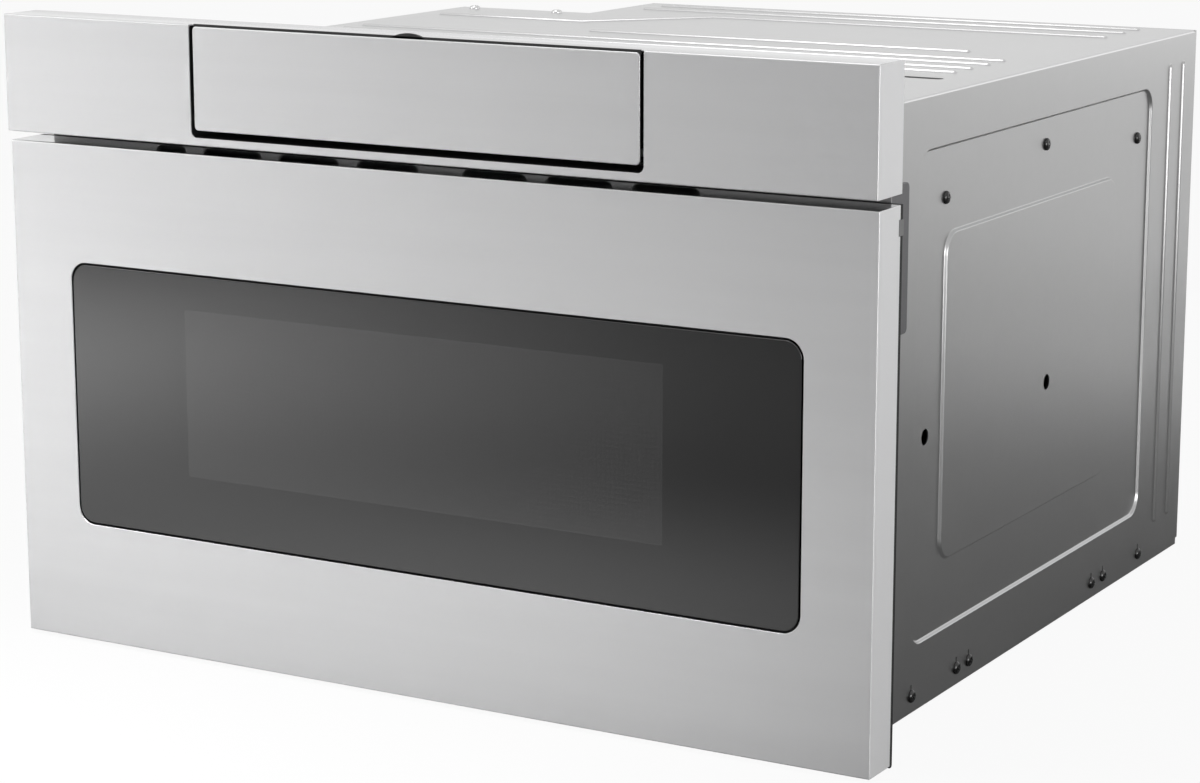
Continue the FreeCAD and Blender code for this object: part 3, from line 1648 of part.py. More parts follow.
def make_drive_pinion():
    """Involute pinion on its shaft, a tooth space uppermost."""
    teeth = int(s.pinion_teeth.value)
    module = s.gear_module.value
    pitch_radius = pinion_radius.value
    base_radius = pitch_radius * math.cos(PRESSURE_ANGLE)
    tip_radius = pitch_radius + TOOTH_ABOVE * module
    root_radius = pitch_radius - TOOTH_BELOW * module

    def involute(angle):
        return math.tan(angle) - angle

    half_at_pitch = (math.pi * module / 2 - s.backlash.value / 2) / 2 / pitch_radius
    flank = []
    for i in range(7):
        radius = base_radius + (tip_radius - base_radius) * i / 6
        pressure = math.acos(min(1.0, base_radius / radius))
        flank.append((radius, half_at_pitch + involute(PRESSURE_ANGLE) - involute(pressure)))
    points = []
    for i in range(teeth):
        middle = math.pi / 2 + (i + 0.5) * 2 * math.pi / teeth
        rising = [(root_radius, flank[0][1])] + flank
        for radius, half in rising:
            points.append((radius, middle - half))
        for radius, half in reversed(rising):
            points.append((radius, middle + half))
    points.append(points[0])
    wire = Part.makePolygon([Vector(0, r * math.cos(a), r * math.sin(a)) for r, a in points])
    width = (pinion_x_high - pinion_x_low).value
    shape = Part.Face(wire).extrude(Vector(width, 0, 0))
    shaft_start = bracket_x_low - s.drive_shaft_depth - pinion_x_low
    shaft_length = -shaft_start.value + width
    along_x = Vector(1, 0, 0)
    shaft_radius = s.drive_shaft_dia.value / 2
    shaft_end = Vector(shaft_start.value, 0, 0)
    shape = shape.fuse(Part.makeCylinder(shaft_radius, shaft_length, shaft_end, along_x))
    pinion = doc.addObject("Part::Feature", "drive_pinion")
    pinion.Shape = shape
    pinion.Placement = Placement(Vector(pinion_x_low.value, pinion_y.value, pinion_z.value), Rotation())
    node(pinion, "drive_pinion")


def make_motor_bracket():
    """Angle on the base pan whose upright carries the gearbox and passes the pinion shaft."""
    high = pinion_z + s.gearbox_height / 2
    half = s.gearbox_length / 2
    corners = [
        (bracket_x_low - s.gearbox_width, pan_top),
        (bracket_x_high, pan_top),
        (bracket_x_high, high),
        (bracket_x_low, high),
        (bracket_x_low, pan_top + s.motor_bracket_sheet),
        (bracket_x_low - s.gearbox_width, pan_top + s.motor_bracket_sheet),
    ]
    piece = Piece("motor_bracket")
    piece.pad("XZ", pinion_y - half, pinion_y + half, corners)
    shaft_hole = circle(pinion_y, pinion_z, s.drive_shaft_dia / 2 + s.shaft_clearance)
    piece.pocket("YZ", bracket_x_low, bracket_x_high, shaft_hole)
    piece.done()


def make_drive_motor():
    """Gearbox with a bore for the pinion shaft, and the motor can beside it."""
    half_y = s.gearbox_length / 2
    half_z = s.gearbox_height / 2
    box_x = bracket_x_low - s.gearbox_width
    gearbox = block(
        "gearbox",
        (box_x, bracket_x_low),
        (pinion_y - half_y, pinion_y + half_y),
        (pinion_z - half_z, pinion_z + half_z),
    )
    can = rod("motor_can", "x", (box_x - s.motor_length, box_x), pinion_y, pinion_z, s.motor_dia)
    bore_x = (bracket_x_low - s.drive_shaft_depth - s.shaft_end_gap, bracket_x_low)
    bore = rod("gearbox_bore", "x", bore_x, pinion_y, pinion_z, s.drive_shaft_dia + s.shaft_clearance * 2)
    node(cut("drive_motor", fuse("gearbox_and_can", gearbox, can), bore), "drive_motor")


# ---- the drawer's inside -------------------------------------------------------------------------------

def make_drawer_tray():
    """Tray of welded sheets on the liner: floor, low sides and back, high front with the window."""
    wall = s.tray_wall
    outer_x = tray_half + wall
    wall_top = tray_bottom + s.tray_height
    front_top = tray_bottom + s.tray_front_height
    full_length = (liner_back, tray_rear + wall)
    floor = block("tray_floor", (-outer_x, outer_x), full_length, (tray_bottom, tray_floor))
    front_height = (tray_floor, front_top)
    front_sheet = block("tray_front_sheet", (-outer_x, outer_x), (liner_back, tray_front), front_height)
    window = block(
        "tray_window",
        (-window_half, window_half),
        (liner_back, tray_front),
        (window_low, window_high),
    )
    height = (tray_floor, wall_top)
    back = block("tray_back", (-outer_x, outer_x), (tray_rear, tray_rear + wall), height)
    sides = [
        block(f"tray_side_{label}", span(side, tray_half, outer_x), (tray_front, tray_rear), height)
        for side, label in ((-1, "left"), (1, "right"))
    ]
    node(group("drawer_tray", floor, cut("tray_front", front_sheet, window), back, *sides), "drawer_tray")


def make_ceramic_base():
    """Flat glass-ceramic plate in the tray."""
    gap = s.ceramic_gap
    outline = (-tray_half + gap, tray_half - gap, tray_front + gap, tray_rear - gap)
    piece = Piece("ceramic_base")
    piece.pad("XY", tray_floor, tray_floor + s.ceramic_sheet, rect(*outline))
    piece.fillet(s.ceramic_corner, along(2, *corners_of(*outline)))
    piece.done()


def make_tray_glides():
    """Two low pads under the rear of the tray, just clear of the cavity floor."""
    glides = []
    for side, label in ((-1, "left"), (1, "right")):
        x = span(side, s.glide_x, s.glide_x + s.glide_width)
        y = (tray_rear - s.glide_width, tray_rear)
        glides.append(block(f"glide_{label}", x, y, (cavity_floor + s.glide_gap, tray_bottom)))
    node(group("tray_glides", *glides), "tray_glides")


def make_inner_window():
    """Glass over the window opening on the inside of the tray's front wall."""
    rim = s.inner_window_rim
    outline = (-window_half - rim, window_half + rim, window_low - rim, window_high + rim)
    piece = Piece("inner_window")
    piece.pad("XZ", tray_front, tray_front + s.inner_window_sheet, rect(*outline))
    piece.done()


# ---- interlocks ----------------------------------------------------------------------------------------

hook_end = liner_back + s.hook_length
holder_room_end = hook_end + s.holder_gap
holder_end = holder_room_end + s.switch_depth
hook_z = (hook_low + hook_high) / 2


def plunger_rows():
    return [hook_z + s.plunger_pitch * step for step in (-0.5, 0.5)]


def make_latch_hooks():
    """Two hooks on the liner that reach through the front frame."""
    hooks = []
    half = s.hook_width / 2
    for side, label in ((-1, "left"), (1, "right")):
        x = span(side, s.hook_centre - half, s.hook_centre + half)
        bar = block(f"hook_bar_{label}", x, (liner_back, hook_end), (hook_low, hook_high))
        tip_y = (hook_end - s.hook_tip, hook_end)
        tip = block(f"hook_tip_{label}", x, tip_y, (hook_low - s.hook_tip, hook_low))
        hooks.append(fuse(f"hook_{label}", bar, tip))
    node(group("latch_hooks", *hooks), "latch_hooks")


def make_switch_holders():
    """Two housings behind the front frame: a room for the hook and bores for the plungers."""
    holders = []
    half = s.hook_width / 2 + s.slot_margin
    low = hook_low - s.hook_tip - s.slot_margin
    high = hook_high + s.slot_margin
    wall = s.holder_wall
    bore_end = hook_end + s.plunger_gap + s.plunger_length + s.shaft_end_gap
    for side, label in ((-1, "left"), (1, "right")):
        x = span(side, s.hook_centre - half - wall, s.hook_centre + half + wall)
        shell = block(f"holder_shell_{label}", x, (frame_back, holder_end), (low - wall, high + wall))
        room_x = span(side, s.hook_centre - half, s.hook_centre + half)
        room = block(f"holder_room_{label}", room_x, (frame_back, holder_room_end), (low, high))
        bores = [
            rod(
                f"holder_bore_{label}_{i}",
                "y",
                s.hook_centre * side,
                (holder_room_end, bore_end),
                z,
                s.plunger_dia + s.pin_clearance * 2,
            )
            for i, z in enumerate(plunger_rows(), start=1)
        ]
        holders.append(cut(f"holder_{label}", shell, room, *bores))
    node(group("switch_holders", *holders), "switch_holders")


def make_switch_plungers():
    """Four spring-out plungers of the interlock switches, just clear of the hooks."""
    start = hook_end + s.plunger_gap
    plungers = [
        rod(
            f"plunger_{label}_{i}",
            "y",
            s.hook_centre * side,
            (start, start + s.plunger_length),
            z,
            s.plunger_dia,
        )
        for side, label in ((-1, "left"), (1, "right"))
        for i, z in enumerate(plunger_rows(), start=1)
    ]
    node(group("switch_plungers", *plungers), "switch_plungers")


# ---- build, check and export ---------------------------------------------------------------------------

make_top_panel()
make_panel_carrier()
make_flap()
make_drawer_front()
make_drawer_glass()
make_door_core()
make_window_screen()
make_door_liner()
make_bumpers()
make_inner_window()
make_front_frame()
make_base_pan()
make_base_pads()
make_side_panel(-1, "left", s.field_back_left, recess_floor - s.bead_drop_left)
make_side_panel(1, "right", s.field_back, cover_bottom - s.bead_drop)
make_top_cover()
make_rear_panel()
make_cord_recess()
make_cord_gland()
make_side_baffles()
make_chassis_screws()
make_cavity_hangers()
make_oven_cavity()
make_stirrer_dome()
make_stirrer_cover()
make_stirrer()
make_stirrer_motor()
make_waveguide()
make_magnetron()
make_transformer()
make_electrics()
make_fan_frame()
make_fan_motor()
make_fan_wheel()
make_slides()
make_rail_brackets()
make_drawer_arms()
make_drawer_rack()
make_drive_pinion()
make_motor_bracket()
make_drive_motor()
make_drawer_tray()
make_ceramic_base()
make_tray_glides()
make_latch_hooks()
make_switch_holders()
make_switch_plungers()

doc.recompute()

for thing in doc.Objects:
    if "Invalid" in thing.State or "Error" in thing.State:
        raise RuntimeError(f"{thing.Label} did not rebuild: {thing.State}")
for name, thing in NODES:
    if thing.Shape.isNull() or not thing.Shape.isValid():
        raise RuntimeError(f"{name} has no valid shape")
    if not thing.Shape.Solids:
        raise RuntimeError(f"{name} has no solid")

os.makedirs("parts", exist_ok=True)
for name, thing in NODES:
    thing.Shape.exportStep(f"parts/{name}.step")
    box = thing.Shape.BoundBox
    print(
        f"{name:18s} solids {len(thing.Shape.Solids):3d}  "
        f"x {box.XMin:8.2f} {box.XMax:8.2f}  y {box.YMin:8.2f} {box.YMax:8.2f}  "
        f"z {box.ZMin:8.2f} {box.ZMax:8.2f}"
    )
print(f"{len(NODES)} nodes")
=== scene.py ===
import math

import bmesh
import bpy
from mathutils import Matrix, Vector


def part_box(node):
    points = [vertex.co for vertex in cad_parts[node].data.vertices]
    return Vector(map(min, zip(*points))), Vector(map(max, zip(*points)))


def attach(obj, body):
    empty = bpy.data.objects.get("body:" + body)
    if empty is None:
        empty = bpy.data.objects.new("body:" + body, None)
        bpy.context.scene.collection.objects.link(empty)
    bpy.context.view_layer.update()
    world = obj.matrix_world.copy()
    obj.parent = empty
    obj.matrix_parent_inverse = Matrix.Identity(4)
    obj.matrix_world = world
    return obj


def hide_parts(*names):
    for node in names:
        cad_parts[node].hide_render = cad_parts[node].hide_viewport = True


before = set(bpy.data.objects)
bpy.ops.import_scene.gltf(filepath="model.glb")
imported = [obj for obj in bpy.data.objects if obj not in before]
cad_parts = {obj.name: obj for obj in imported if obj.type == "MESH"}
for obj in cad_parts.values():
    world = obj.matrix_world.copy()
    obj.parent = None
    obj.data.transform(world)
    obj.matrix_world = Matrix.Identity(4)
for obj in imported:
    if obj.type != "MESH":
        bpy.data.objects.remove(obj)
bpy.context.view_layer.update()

# ---- View and studio -----------------------------------------------------------------------------
# The camera stands in front, to the right and a little above, far off with a long lens. Broad soft
# lamps light the appliance from the left, the right and above, and small ones light the pale floor
# where the metal mirrors it.

view = bpy.data.objects.new("view", bpy.data.cameras.new("view"))
view.location = (1.01007, -1.81758, 0.58215)
view.rotation_euler = (math.radians(90 - 12.004), 0, math.radians(30.007))
view.data.sensor_width = 36
view.data.lens = 93.94
bpy.context.scene.collection.objects.link(view)
bpy.context.scene.camera = view
bpy.context.scene.view_settings.view_transform = "Standard"


class Value:
    """One output of a node. Arithmetic on it adds Math nodes to its tree."""

    def __init__(self, owner, socket):
        self.owner = owner
        self.socket = socket

    def maths(self, operation, *terms):
        return self.owner.node("ShaderNodeMath", {"operation": operation}, dict(enumerate(terms)))

    def __add__(self, other):
        return self.maths("ADD", self, other)

    def __sub__(self, other):
        return self.maths("SUBTRACT", self, other)

    def __mul__(self, other):
        return self.maths("MULTIPLY", self, other)

    def __truediv__(self, other):
        return self.maths("DIVIDE", self, other)

    def __rsub__(self, other):
        return self.maths("SUBTRACT", other, self)

    def __abs__(self):
        return self.maths("ABSOLUTE", self)

    def __gt__(self, other):
        return self.maths("GREATER_THAN", self, other)

    def __lt__(self, other):
        return self.maths("LESS_THAN", self, other)

    def wave(self):
        """A triangle wave from 0 to 1 with a period of 1."""
        return self.maths("PINGPONG", self * 2, 1.0)

    __radd__ = __add__
    __rmul__ = __mul__


class Tree:
    """A node tree. node() adds any node, its settings first and then its sockets."""

    def __init__(self, tree):
        self.tree = tree

    def node(self, kind, settings=None, sockets=None, output=0):
        made = self.tree.nodes.new(kind)
        for key, setting in (settings or {}).items():
            setattr(made, key, setting)
        for key, value in (sockets or {}).items():
            self.feed(made.inputs[key], value)
        return Value(self, made.outputs[output])

    def feed(self, socket, value):
        if isinstance(value, Value):
            self.tree.links.new(value.socket, socket)
        else:
            socket.default_value = value


class Finish(Tree):
    """One material, or the world, with the patterns that its colour and gloss need."""

    def __init__(self, name, owner=None, **constants):
        self.material = owner or bpy.data.materials.new(name)
        self.material.use_nodes = True
        super().__init__(self.material.node_tree)
        self.shader = self.tree.nodes.get("Principled BSDF")
        for socket, number in constants.items():
            self.shader.inputs[socket.replace("_", " ")].default_value = number

    def set(self, **sockets):
        for key, value in sockets.items():
            self.feed(self.shader.inputs[key.replace("_", " ")], value)
        return self

    def place(self, scale=(1, 1, 1)):
        """Object coordinates in metres, stretched by scale."""
        spot = self.node("ShaderNodeTexCoord", output="Object")
        return self.node("ShaderNodeMapping", sockets={"Vector": spot, "Scale": scale})

    def along(self, axis, source="Object"):
        """How far each point lies along an axis, or with Normal how far its face leans that way."""
        spot = self.node("ShaderNodeTexCoord", output=source)
        return self.node("ShaderNodeSeparateXYZ", sockets={"Vector": spot}, output=axis)

    def noise(self, scale, detail=2.0, rough=0.5, stretch=(1, 1, 1)):
        sockets = {"Vector": self.place(stretch), "Scale": scale, "Detail": detail, "Roughness": rough}
        return self.node("ShaderNodeTexNoise", sockets=sockets)

    def blend(self, factor, first, second):
        """A colour between two, by a factor."""
        sockets = {0: factor, 6: first, 7: second}
        return self.node("ShaderNodeMix", {"data_type": "RGBA"}, sockets, output=2)

    def bump(self, height, distance, strength=1.0):
        sockets = {"Height": height, "Distance": distance, "Strength": strength}
        return self.set(Normal=self.node("ShaderNodeBump", sockets=sockets))


def grey(level):
    return (level, level, level, 1.0)


def link_object(name, data):
    made = bpy.data.objects.new(name, data)
    bpy.context.scene.collection.objects.link(made)
    return made


white_rays = ("Is Camera Ray", "Is Glossy Ray", "Is Transmission Ray")


def stage_paint(name, level, seen_by):
    """Pale paint that the rays named in seen_by meet as plain white, apart from a soft shadow."""
    paint = Finish(name, Roughness=0.9)
    patches = paint.noise(3.0, 2)
    paint.set(Base_Color=paint.blend(patches, grey(level * 0.97), grey(level * 1.03)))
    white = paint.node("ShaderNodeEmission", sockets={"Color": grey(1.0), "Strength": 1.0})
    lit = Value(paint, paint.shader.outputs[0])
    rays = sum(paint.node("ShaderNodeLightPath", output=ray) for ray in seen_by)
    shown = paint.node("ShaderNodeMixShader", sockets={0: rays * 0.94, 1: lit, 2: white})
    paint.feed(paint.tree.nodes["Material Output"].inputs["Surface"], shown)
    return paint


def stage_plane(name, corners, paint, shown=True):
    mesh = bpy.data.meshes.new(name)
    mesh.from_pydata(corners, [], [(0, 1, 2, 3)])
    mesh.materials.append(paint.material)
    plane = link_object(name, mesh)
    plane.visible_camera = shown


def build_sky():
    """A soft pale world. The camera, metal and glass see it white."""
    world = bpy.data.worlds.new("studio")
    bpy.context.scene.world = world
    sky = Finish("studio", owner=world)
    rays = sum(sky.node("ShaderNodeLightPath", output=ray) for ray in white_rays)
    background = sky.tree.nodes["Background"]
    sky.feed(background.inputs["Color"], grey(1.0))
    sky.feed(background.inputs["Strength"], rays * 0.58 + 0.42)


def add_lamp(name, place, target, width, height, power, spread=180):
    light = bpy.data.lights.new(name, "AREA")
    light.shape = "RECTANGLE"
    light.size = width
    light.size_y = height
    light.energy = power
    light.spread = math.radians(spread)
    holder = link_object(name, light)
    holder.location = place
    holder.rotation_euler = (Vector(target) - Vector(place)).to_track_quat("-Z", "Y").to_euler()


reach = 8
wall_y = 1.3
floor_corners = [(-reach, -reach, 0), (reach, -reach, 0), (reach, reach, 0), (-reach, reach, 0)]
wall_corners = [(-reach, wall_y, 0), (reach, wall_y, 0), (reach, wall_y, 4), (-reach, wall_y, 4)]
stage_plane("floor", floor_corners, stage_paint("floor_paint", 0.30, white_rays[:1]))
stage_plane("backdrop", wall_corners, stage_paint("backdrop_paint", 0.8, white_rays), shown=False)
build_sky()
add_lamp("left_lamp", (-2.5, -1.9, 1.5), (0, 0, 0.2), 1.6, 1.6, 15)
add_lamp("floor_lamp", (-1.15, -0.85, 1.0), (-1.15, -0.85, 0), 0.6, 0.6, 27, 95)
add_lamp("skirt_lamp", (-0.12, -0.50, 0.7), (-0.12, -0.50, 0), 0.6, 0.12, 2.1, 60)
add_lamp("rear_lamp", (0.85, 1.0, 0.55), (0.3, 0, 0.2), 0.9, 0.6, 0.9)
add_lamp("corner_lamp", (0.68, 1.0, 0.6), (0.68, 1.0, 0), 0.4, 0.3, 1.7, 80)
add_lamp("right_lamp", (1.9, -0.9, 0.42), (0.27, 0, 0.2), 1.0, 0.7, 14)
add_lamp("top_lamp", (-0.5, -0.4, 2.3), (0, 0, 0.2), 1.4, 1.0, 14)

# ---- Base pan and pads ---------------------------------------------------------------------------
# The folded pan of zinc-coated sheet carries the whole chassis. Four black rubber pads are pushed
# into it from below.


def zinc_sheet(name, level, roughness):
    """Hot-dip zinc: faint crystals, and cloudy patches that change its gloss a little."""
    finish = Finish(name, Metallic=1.0)
    crystals = finish.node("ShaderNodeTexVoronoi", sockets={"Vector": finish.place(), "Scale": 140.0})
    mottle = finish.noise(26, 3, 0.6)
    tone = mottle * 0.8 + crystals * 0.2
    finish.set(
        Base_Color=finish.blend(tone, grey(level * 0.96), grey(level * 1.04)),
        Roughness=mottle * 0.06 + roughness,
    )
    return finish


def dress(finish, *nodes):
    """Give CAD nodes a finish."""
    for name in nodes:
        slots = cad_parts[name].data.materials
        slots.clear()
        slots.append(finish.material)


def shade(colour, share=1.0):
    """A colour made darker or lighter, with its alpha."""
    return tuple(share * part for part in colour) + (1,)


def moulding(name, colour, roughness, grain_size=2500):
    """Moulded plastic or rubber with a fine grain."""
    finish = Finish(name)
    grain = finish.noise(grain_size, 2)
    broad = finish.noise(30, 2)
    finish.set(
        Base_Color=finish.blend(broad * 0.5 + grain * 0.5, shade(colour, 0.85), shade(colour, 1.15)),
        Roughness=grain * 0.10 + roughness,
    )
    return finish.bump(grain, 0.00004, 0.35)


# This zinc is a darker copy of the cover's sheet, painted shade on the sides, rear and base.
chassis_zinc = zinc_sheet("chassis_zinc", 0.40, 0.27)
dress(chassis_zinc, "base_pan")
dress(moulding("pad_rubber", (0.02, 0.02, 0.02), 0.65, 1800), "base_pads")

# ---- Chassis sides -------------------------------------------------------------------------------
# Zinc-coated sheet, cut and pressed in one stroke: a sunk field with a raised boss inside it, two
# upright beads at the rear, and plain holes. The left one is cut short over the cord's corner.


crisp_angle = 38.0


def mesh_of(name, bm):
    mesh = bpy.data.meshes.new(name)
    bm.to_mesh(mesh)
    bm.free()
    return mesh


def plain_mesh(name, bm, finish, wall=0.0, bevel=0.0):
    """A linked object of a bmesh, with a wall grown inwards or its edges eased, as a plain mesh."""
    draft = link_object(name, mesh_of(name, bm))
    if wall:
        solidify = draft.modifiers.new("wall", "SOLIDIFY")
        solidify.thickness = wall
        solidify.offset = -1
    if bevel:
        edge = draft.modifiers.new("edge", "BEVEL")
        edge.width = bevel
        edge.segments = 2
        edge.limit_method = "ANGLE"
        bake(draft, finish, crisp_angle)
        draft.modifiers.new("flats", "WEIGHTED_NORMAL").keep_sharp = True
        return bake(draft)
    return bake(draft, finish, crisp_angle)


def bake(draft, finish=None, crisp=None):
    """Turn a draft's modifiers into its mesh, and shade it smooth up to an angle."""
    graph = bpy.context.evaluated_depsgraph_get()
    mesh = bpy.data.meshes.new_from_object(draft.evaluated_get(graph))
    draft.modifiers.clear()
    draft.data = mesh
    mesh.name = draft.name
    if crisp:
        mesh.shade_smooth()
        mesh.set_sharp_from_angle(angle=math.radians(crisp))
    if finish:
        mesh.materials.clear()
        mesh.materials.append(finish.material)
    return draft


def fit(piece, body, slot, *replaced):
    """The piece rides on its body and stands for CAD nodes."""
    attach(piece, body)
    if replaced:
        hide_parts(*replaced)
    return piece


def round_box(low_a, high_a, low_b, high_b, radius, steps=8):
    """Points round a rectangle with round corners."""
    centres = [
        (high_a - radius, low_b + radius),
        (high_a - radius, high_b - radius),
        (low_a + radius, high_b - radius),
        (low_a + radius, low_b + radius),
    ]
    loop = []
    for quarter, (a, b) in enumerate(centres):
        for step in range(steps + 1):
            turn = math.pi / 2 * (quarter - 1 + step / steps)
            loop.append((a + radius * math.cos(turn), b + radius * math.sin(turn)))
    return loop


def inset_box(low_a, high_a, low_b, high_b, radius, shrink=1):
    """Gives the outline at any distance inside a rectangle with round corners."""

    def outline(inset):
        corner = radius - shrink * inset
        return round_box(low_a + inset, high_a - inset, low_b + inset, high_b - inset, corner)

    return outline


def circle(a, b, radius, steps=20):
    turns = [2 * math.pi * step / steps for step in range(steps)]
    return [(a + radius * math.cos(turn), b + radius * math.sin(turn)) for turn in turns]


def rib_outline(path, half, steps=6):
    """Points at one distance round an open path, mitred at its bends and round at its ends."""
    spots = [Vector(spot) for spot in path]
    ways = [(b - a).normalized() for a, b in zip(spots, spots[1:])]
    loop = []
    for _ in range(2):
        for before, after, spot in zip(ways, ways[1:], spots[1:]):
            mitre = (before + after).normalized()
            loop.append(spot + Vector((mitre.y, -mitre.x)) * (half / mitre.dot(before)))
        for step in range(steps + 1):
            turn = math.pi * (step / steps - 0.5)
            way = ways[-1]
            across = Vector((-way.y, way.x))
            loop.append(spots[-1] + (way * math.cos(turn) + across * math.sin(turn)) * half)
        spots.reverse()
        ways = [-way for way in reversed(ways)]
    return loop


def loose_parts(node):
    """The lowest and highest corners of each separate solid of a CAD node."""
    bm = bmesh.new()
    bm.from_mesh(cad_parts[node].data)
    bmesh.ops.remove_doubles(bm, verts=bm.verts[:], dist=0.000001)
    left = set(bm.verts)
    parts = []
    while left:
        reached = {left.pop()}
        edge = list(reached)
        while edge:
            linked = {other.other_vert(vert) for vert in edge for other in vert.link_edges}
            edge = [vert for vert in linked if vert not in reached]
            reached.update(edge)
        left -= reached
        spots = [vert.co for vert in reached]
        low = Vector([min(spot[axis] for spot in spots) for axis in range(3)])
        high = Vector([max(spot[axis] for spot in spots) for axis in range(3)])
        parts.append((low, high))
    bm.free()
    return sorted(parts, key=lambda part: tuple(part[0]))


def bridge(bm, one, two):
    """Faces between two rings with as many points."""
    for corners in zip(one, one[1:] + one[:1], two[1:] + two[:1], two):
        bm.faces.new(corners)


def fill_between(bm, *rings):
    """Triangles over the flat surface that the rings bound."""
    edges = []
    for ring in rings:
        edges += [bm.edges.get(pair) or bm.edges.new(pair) for pair in zip(ring, ring[1:] + ring[:1])]
    bmesh.ops.triangle_fill(bm, use_beauty=True, edges=edges)


class PressedSheet:
    """A flat sheet drawn in two coordinates, with smooth pressings raised along a third."""

    def __init__(self, to_space):
        self.to_space = to_space
        self.bm = bmesh.new()

    def ring(self, loop, height=0.0):
        return [self.bm.verts.new(self.to_space(a, b, height)) for a, b in loop]

    def press(self, loop_at, width, start, end, steps=7):
        """A smooth slope between two heights. Its outer and inner rings are returned."""
        margin = width * 0.08
        rings = [self.ring(loop_at(-margin), start)]
        for step in range(steps + 1):
            share = step / steps
            rise = share * share * (3 - 2 * share)
            rings.append(self.ring(loop_at(width * share), start + (end - start) * rise))
        rings.append(self.ring(loop_at(width + margin), end))
        for outer, inner in zip(rings, rings[1:]):
            bridge(self.bm, outer, inner)
        return rings[0], rings[-1]

    def flat(self, *rings):
        """Fill the sheet between rings."""
        fill_between(self.bm, *rings)

    def face(self, outward):
        """Turn every face to the outside."""
        bmesh.ops.recalc_face_normals(self.bm, faces=self.bm.faces[:])
        total = sum((face.normal * face.calc_area() for face in self.bm.faces), Vector())
        if total.dot(Vector(outward)) < 0:
            bmesh.ops.reverse_faces(self.bm, faces=self.bm.faces[:])
        return self.bm


sheet_wall = 0.001
fold_radius = 0.0014
bead_rise = 0.0015


def build_side(side, label):
    low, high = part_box(f"side_panel_{label}")
    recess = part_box("cord_recess")[0]
    cut_y, cut_z = recess.y + sheet_wall, recess.z + sheet_wall
    depth = 0.002
    slope = 0.0018
    corner = 0.015
    bead_half, bead_slope = 0.003, 0.0020
    hole_z, hole_radius = 0.1694, 0.005
    slot_half = 0.0009
    face_x = high.x - bead_rise if side > 0 else low.x + bead_rise
    front, rear, bottom, top = low.y, high.y, low.z, high.z - (fold_radius - sheet_wall)
    field_rear = rear - (0.080 if side > 0 else 0.110)
    field = (front + 0.0858, field_rear, bottom + 0.0405, bottom + 0.339)
    boss = (field[0] + 0.041, field[1] - 0.062, field[2] + 0.043, field[3] - 0.0525)
    bead_low = bottom + 0.026
    bead_high = bottom + (0.352 if side > 0 else 0.276)
    sheet = PressedSheet(lambda y, z, height: (face_x + side * height, y, z))

    outline = [(front, bottom), (rear, bottom), (rear, top), (front, top)]
    if side < 0:
        outline[2:3] = [(rear, cut_z), (cut_y, cut_z), (cut_y, top)]
    edge = sheet.ring(outline)
    field_edge, field_floor = sheet.press(inset_box(*field, corner), slope, 0.0, -depth)
    boss_edge, boss_top = sheet.press(inset_box(*boss, corner), slope, -depth, 0.0)
    rings = [edge, field_edge]
    for low_corner, high_corner in loose_parts("chassis_screws"):
        middle = (low_corner + high_corner) / 2
        if middle.x * side > 0.2 and middle.z < 0.1:
            slot = [(middle.y, middle.z + 0.0035), (middle.y, middle.z + 0.0062)]
            rings.append(sheet.ring(rib_outline(slot, slot_half)))
    for back in (0.047, 0.021):
        path = [(rear - back, bead_low + bead_half), (rear - back, bead_high - bead_half)]
        bead_edge, bead_top = sheet.press(
            lambda inset: rib_outline(path, bead_half - inset), bead_slope, 0.0, bead_rise
        )
        rings.append(bead_edge)
        sheet.flat(bead_top)
    sheet.flat(*rings)
    field_hole = sheet.ring(circle(field[0] + 0.0193, hole_z, hole_radius), -depth)
    sheet.flat(field_floor, boss_edge, field_hole)
    sheet.flat(boss_top, sheet.ring(circle(boss[0] + 0.1637, hole_z, hole_radius)))
    panel = plain_mesh(f"side_sheet_{label}", sheet.face((side, 0, 0)), chassis_zinc, wall=sheet_wall)
    fit(panel, "chassis", "galvanised", f"side_panel_{label}")


build_side(1, "right")
build_side(-1, "left")

# ---- Chassis cover -------------------------------------------------------------------------------
# The same sheet, laid over the sides, stiffened by narrow ribs pressed up from below. Its rear left
# corner is cut away over the cord's place, and a slit takes the fascia's hook.


# The cover's copy of the zinc is lighter than the sides', as painted light on the top.
cover_zinc = zinc_sheet("cover_zinc", 0.56, 0.27)


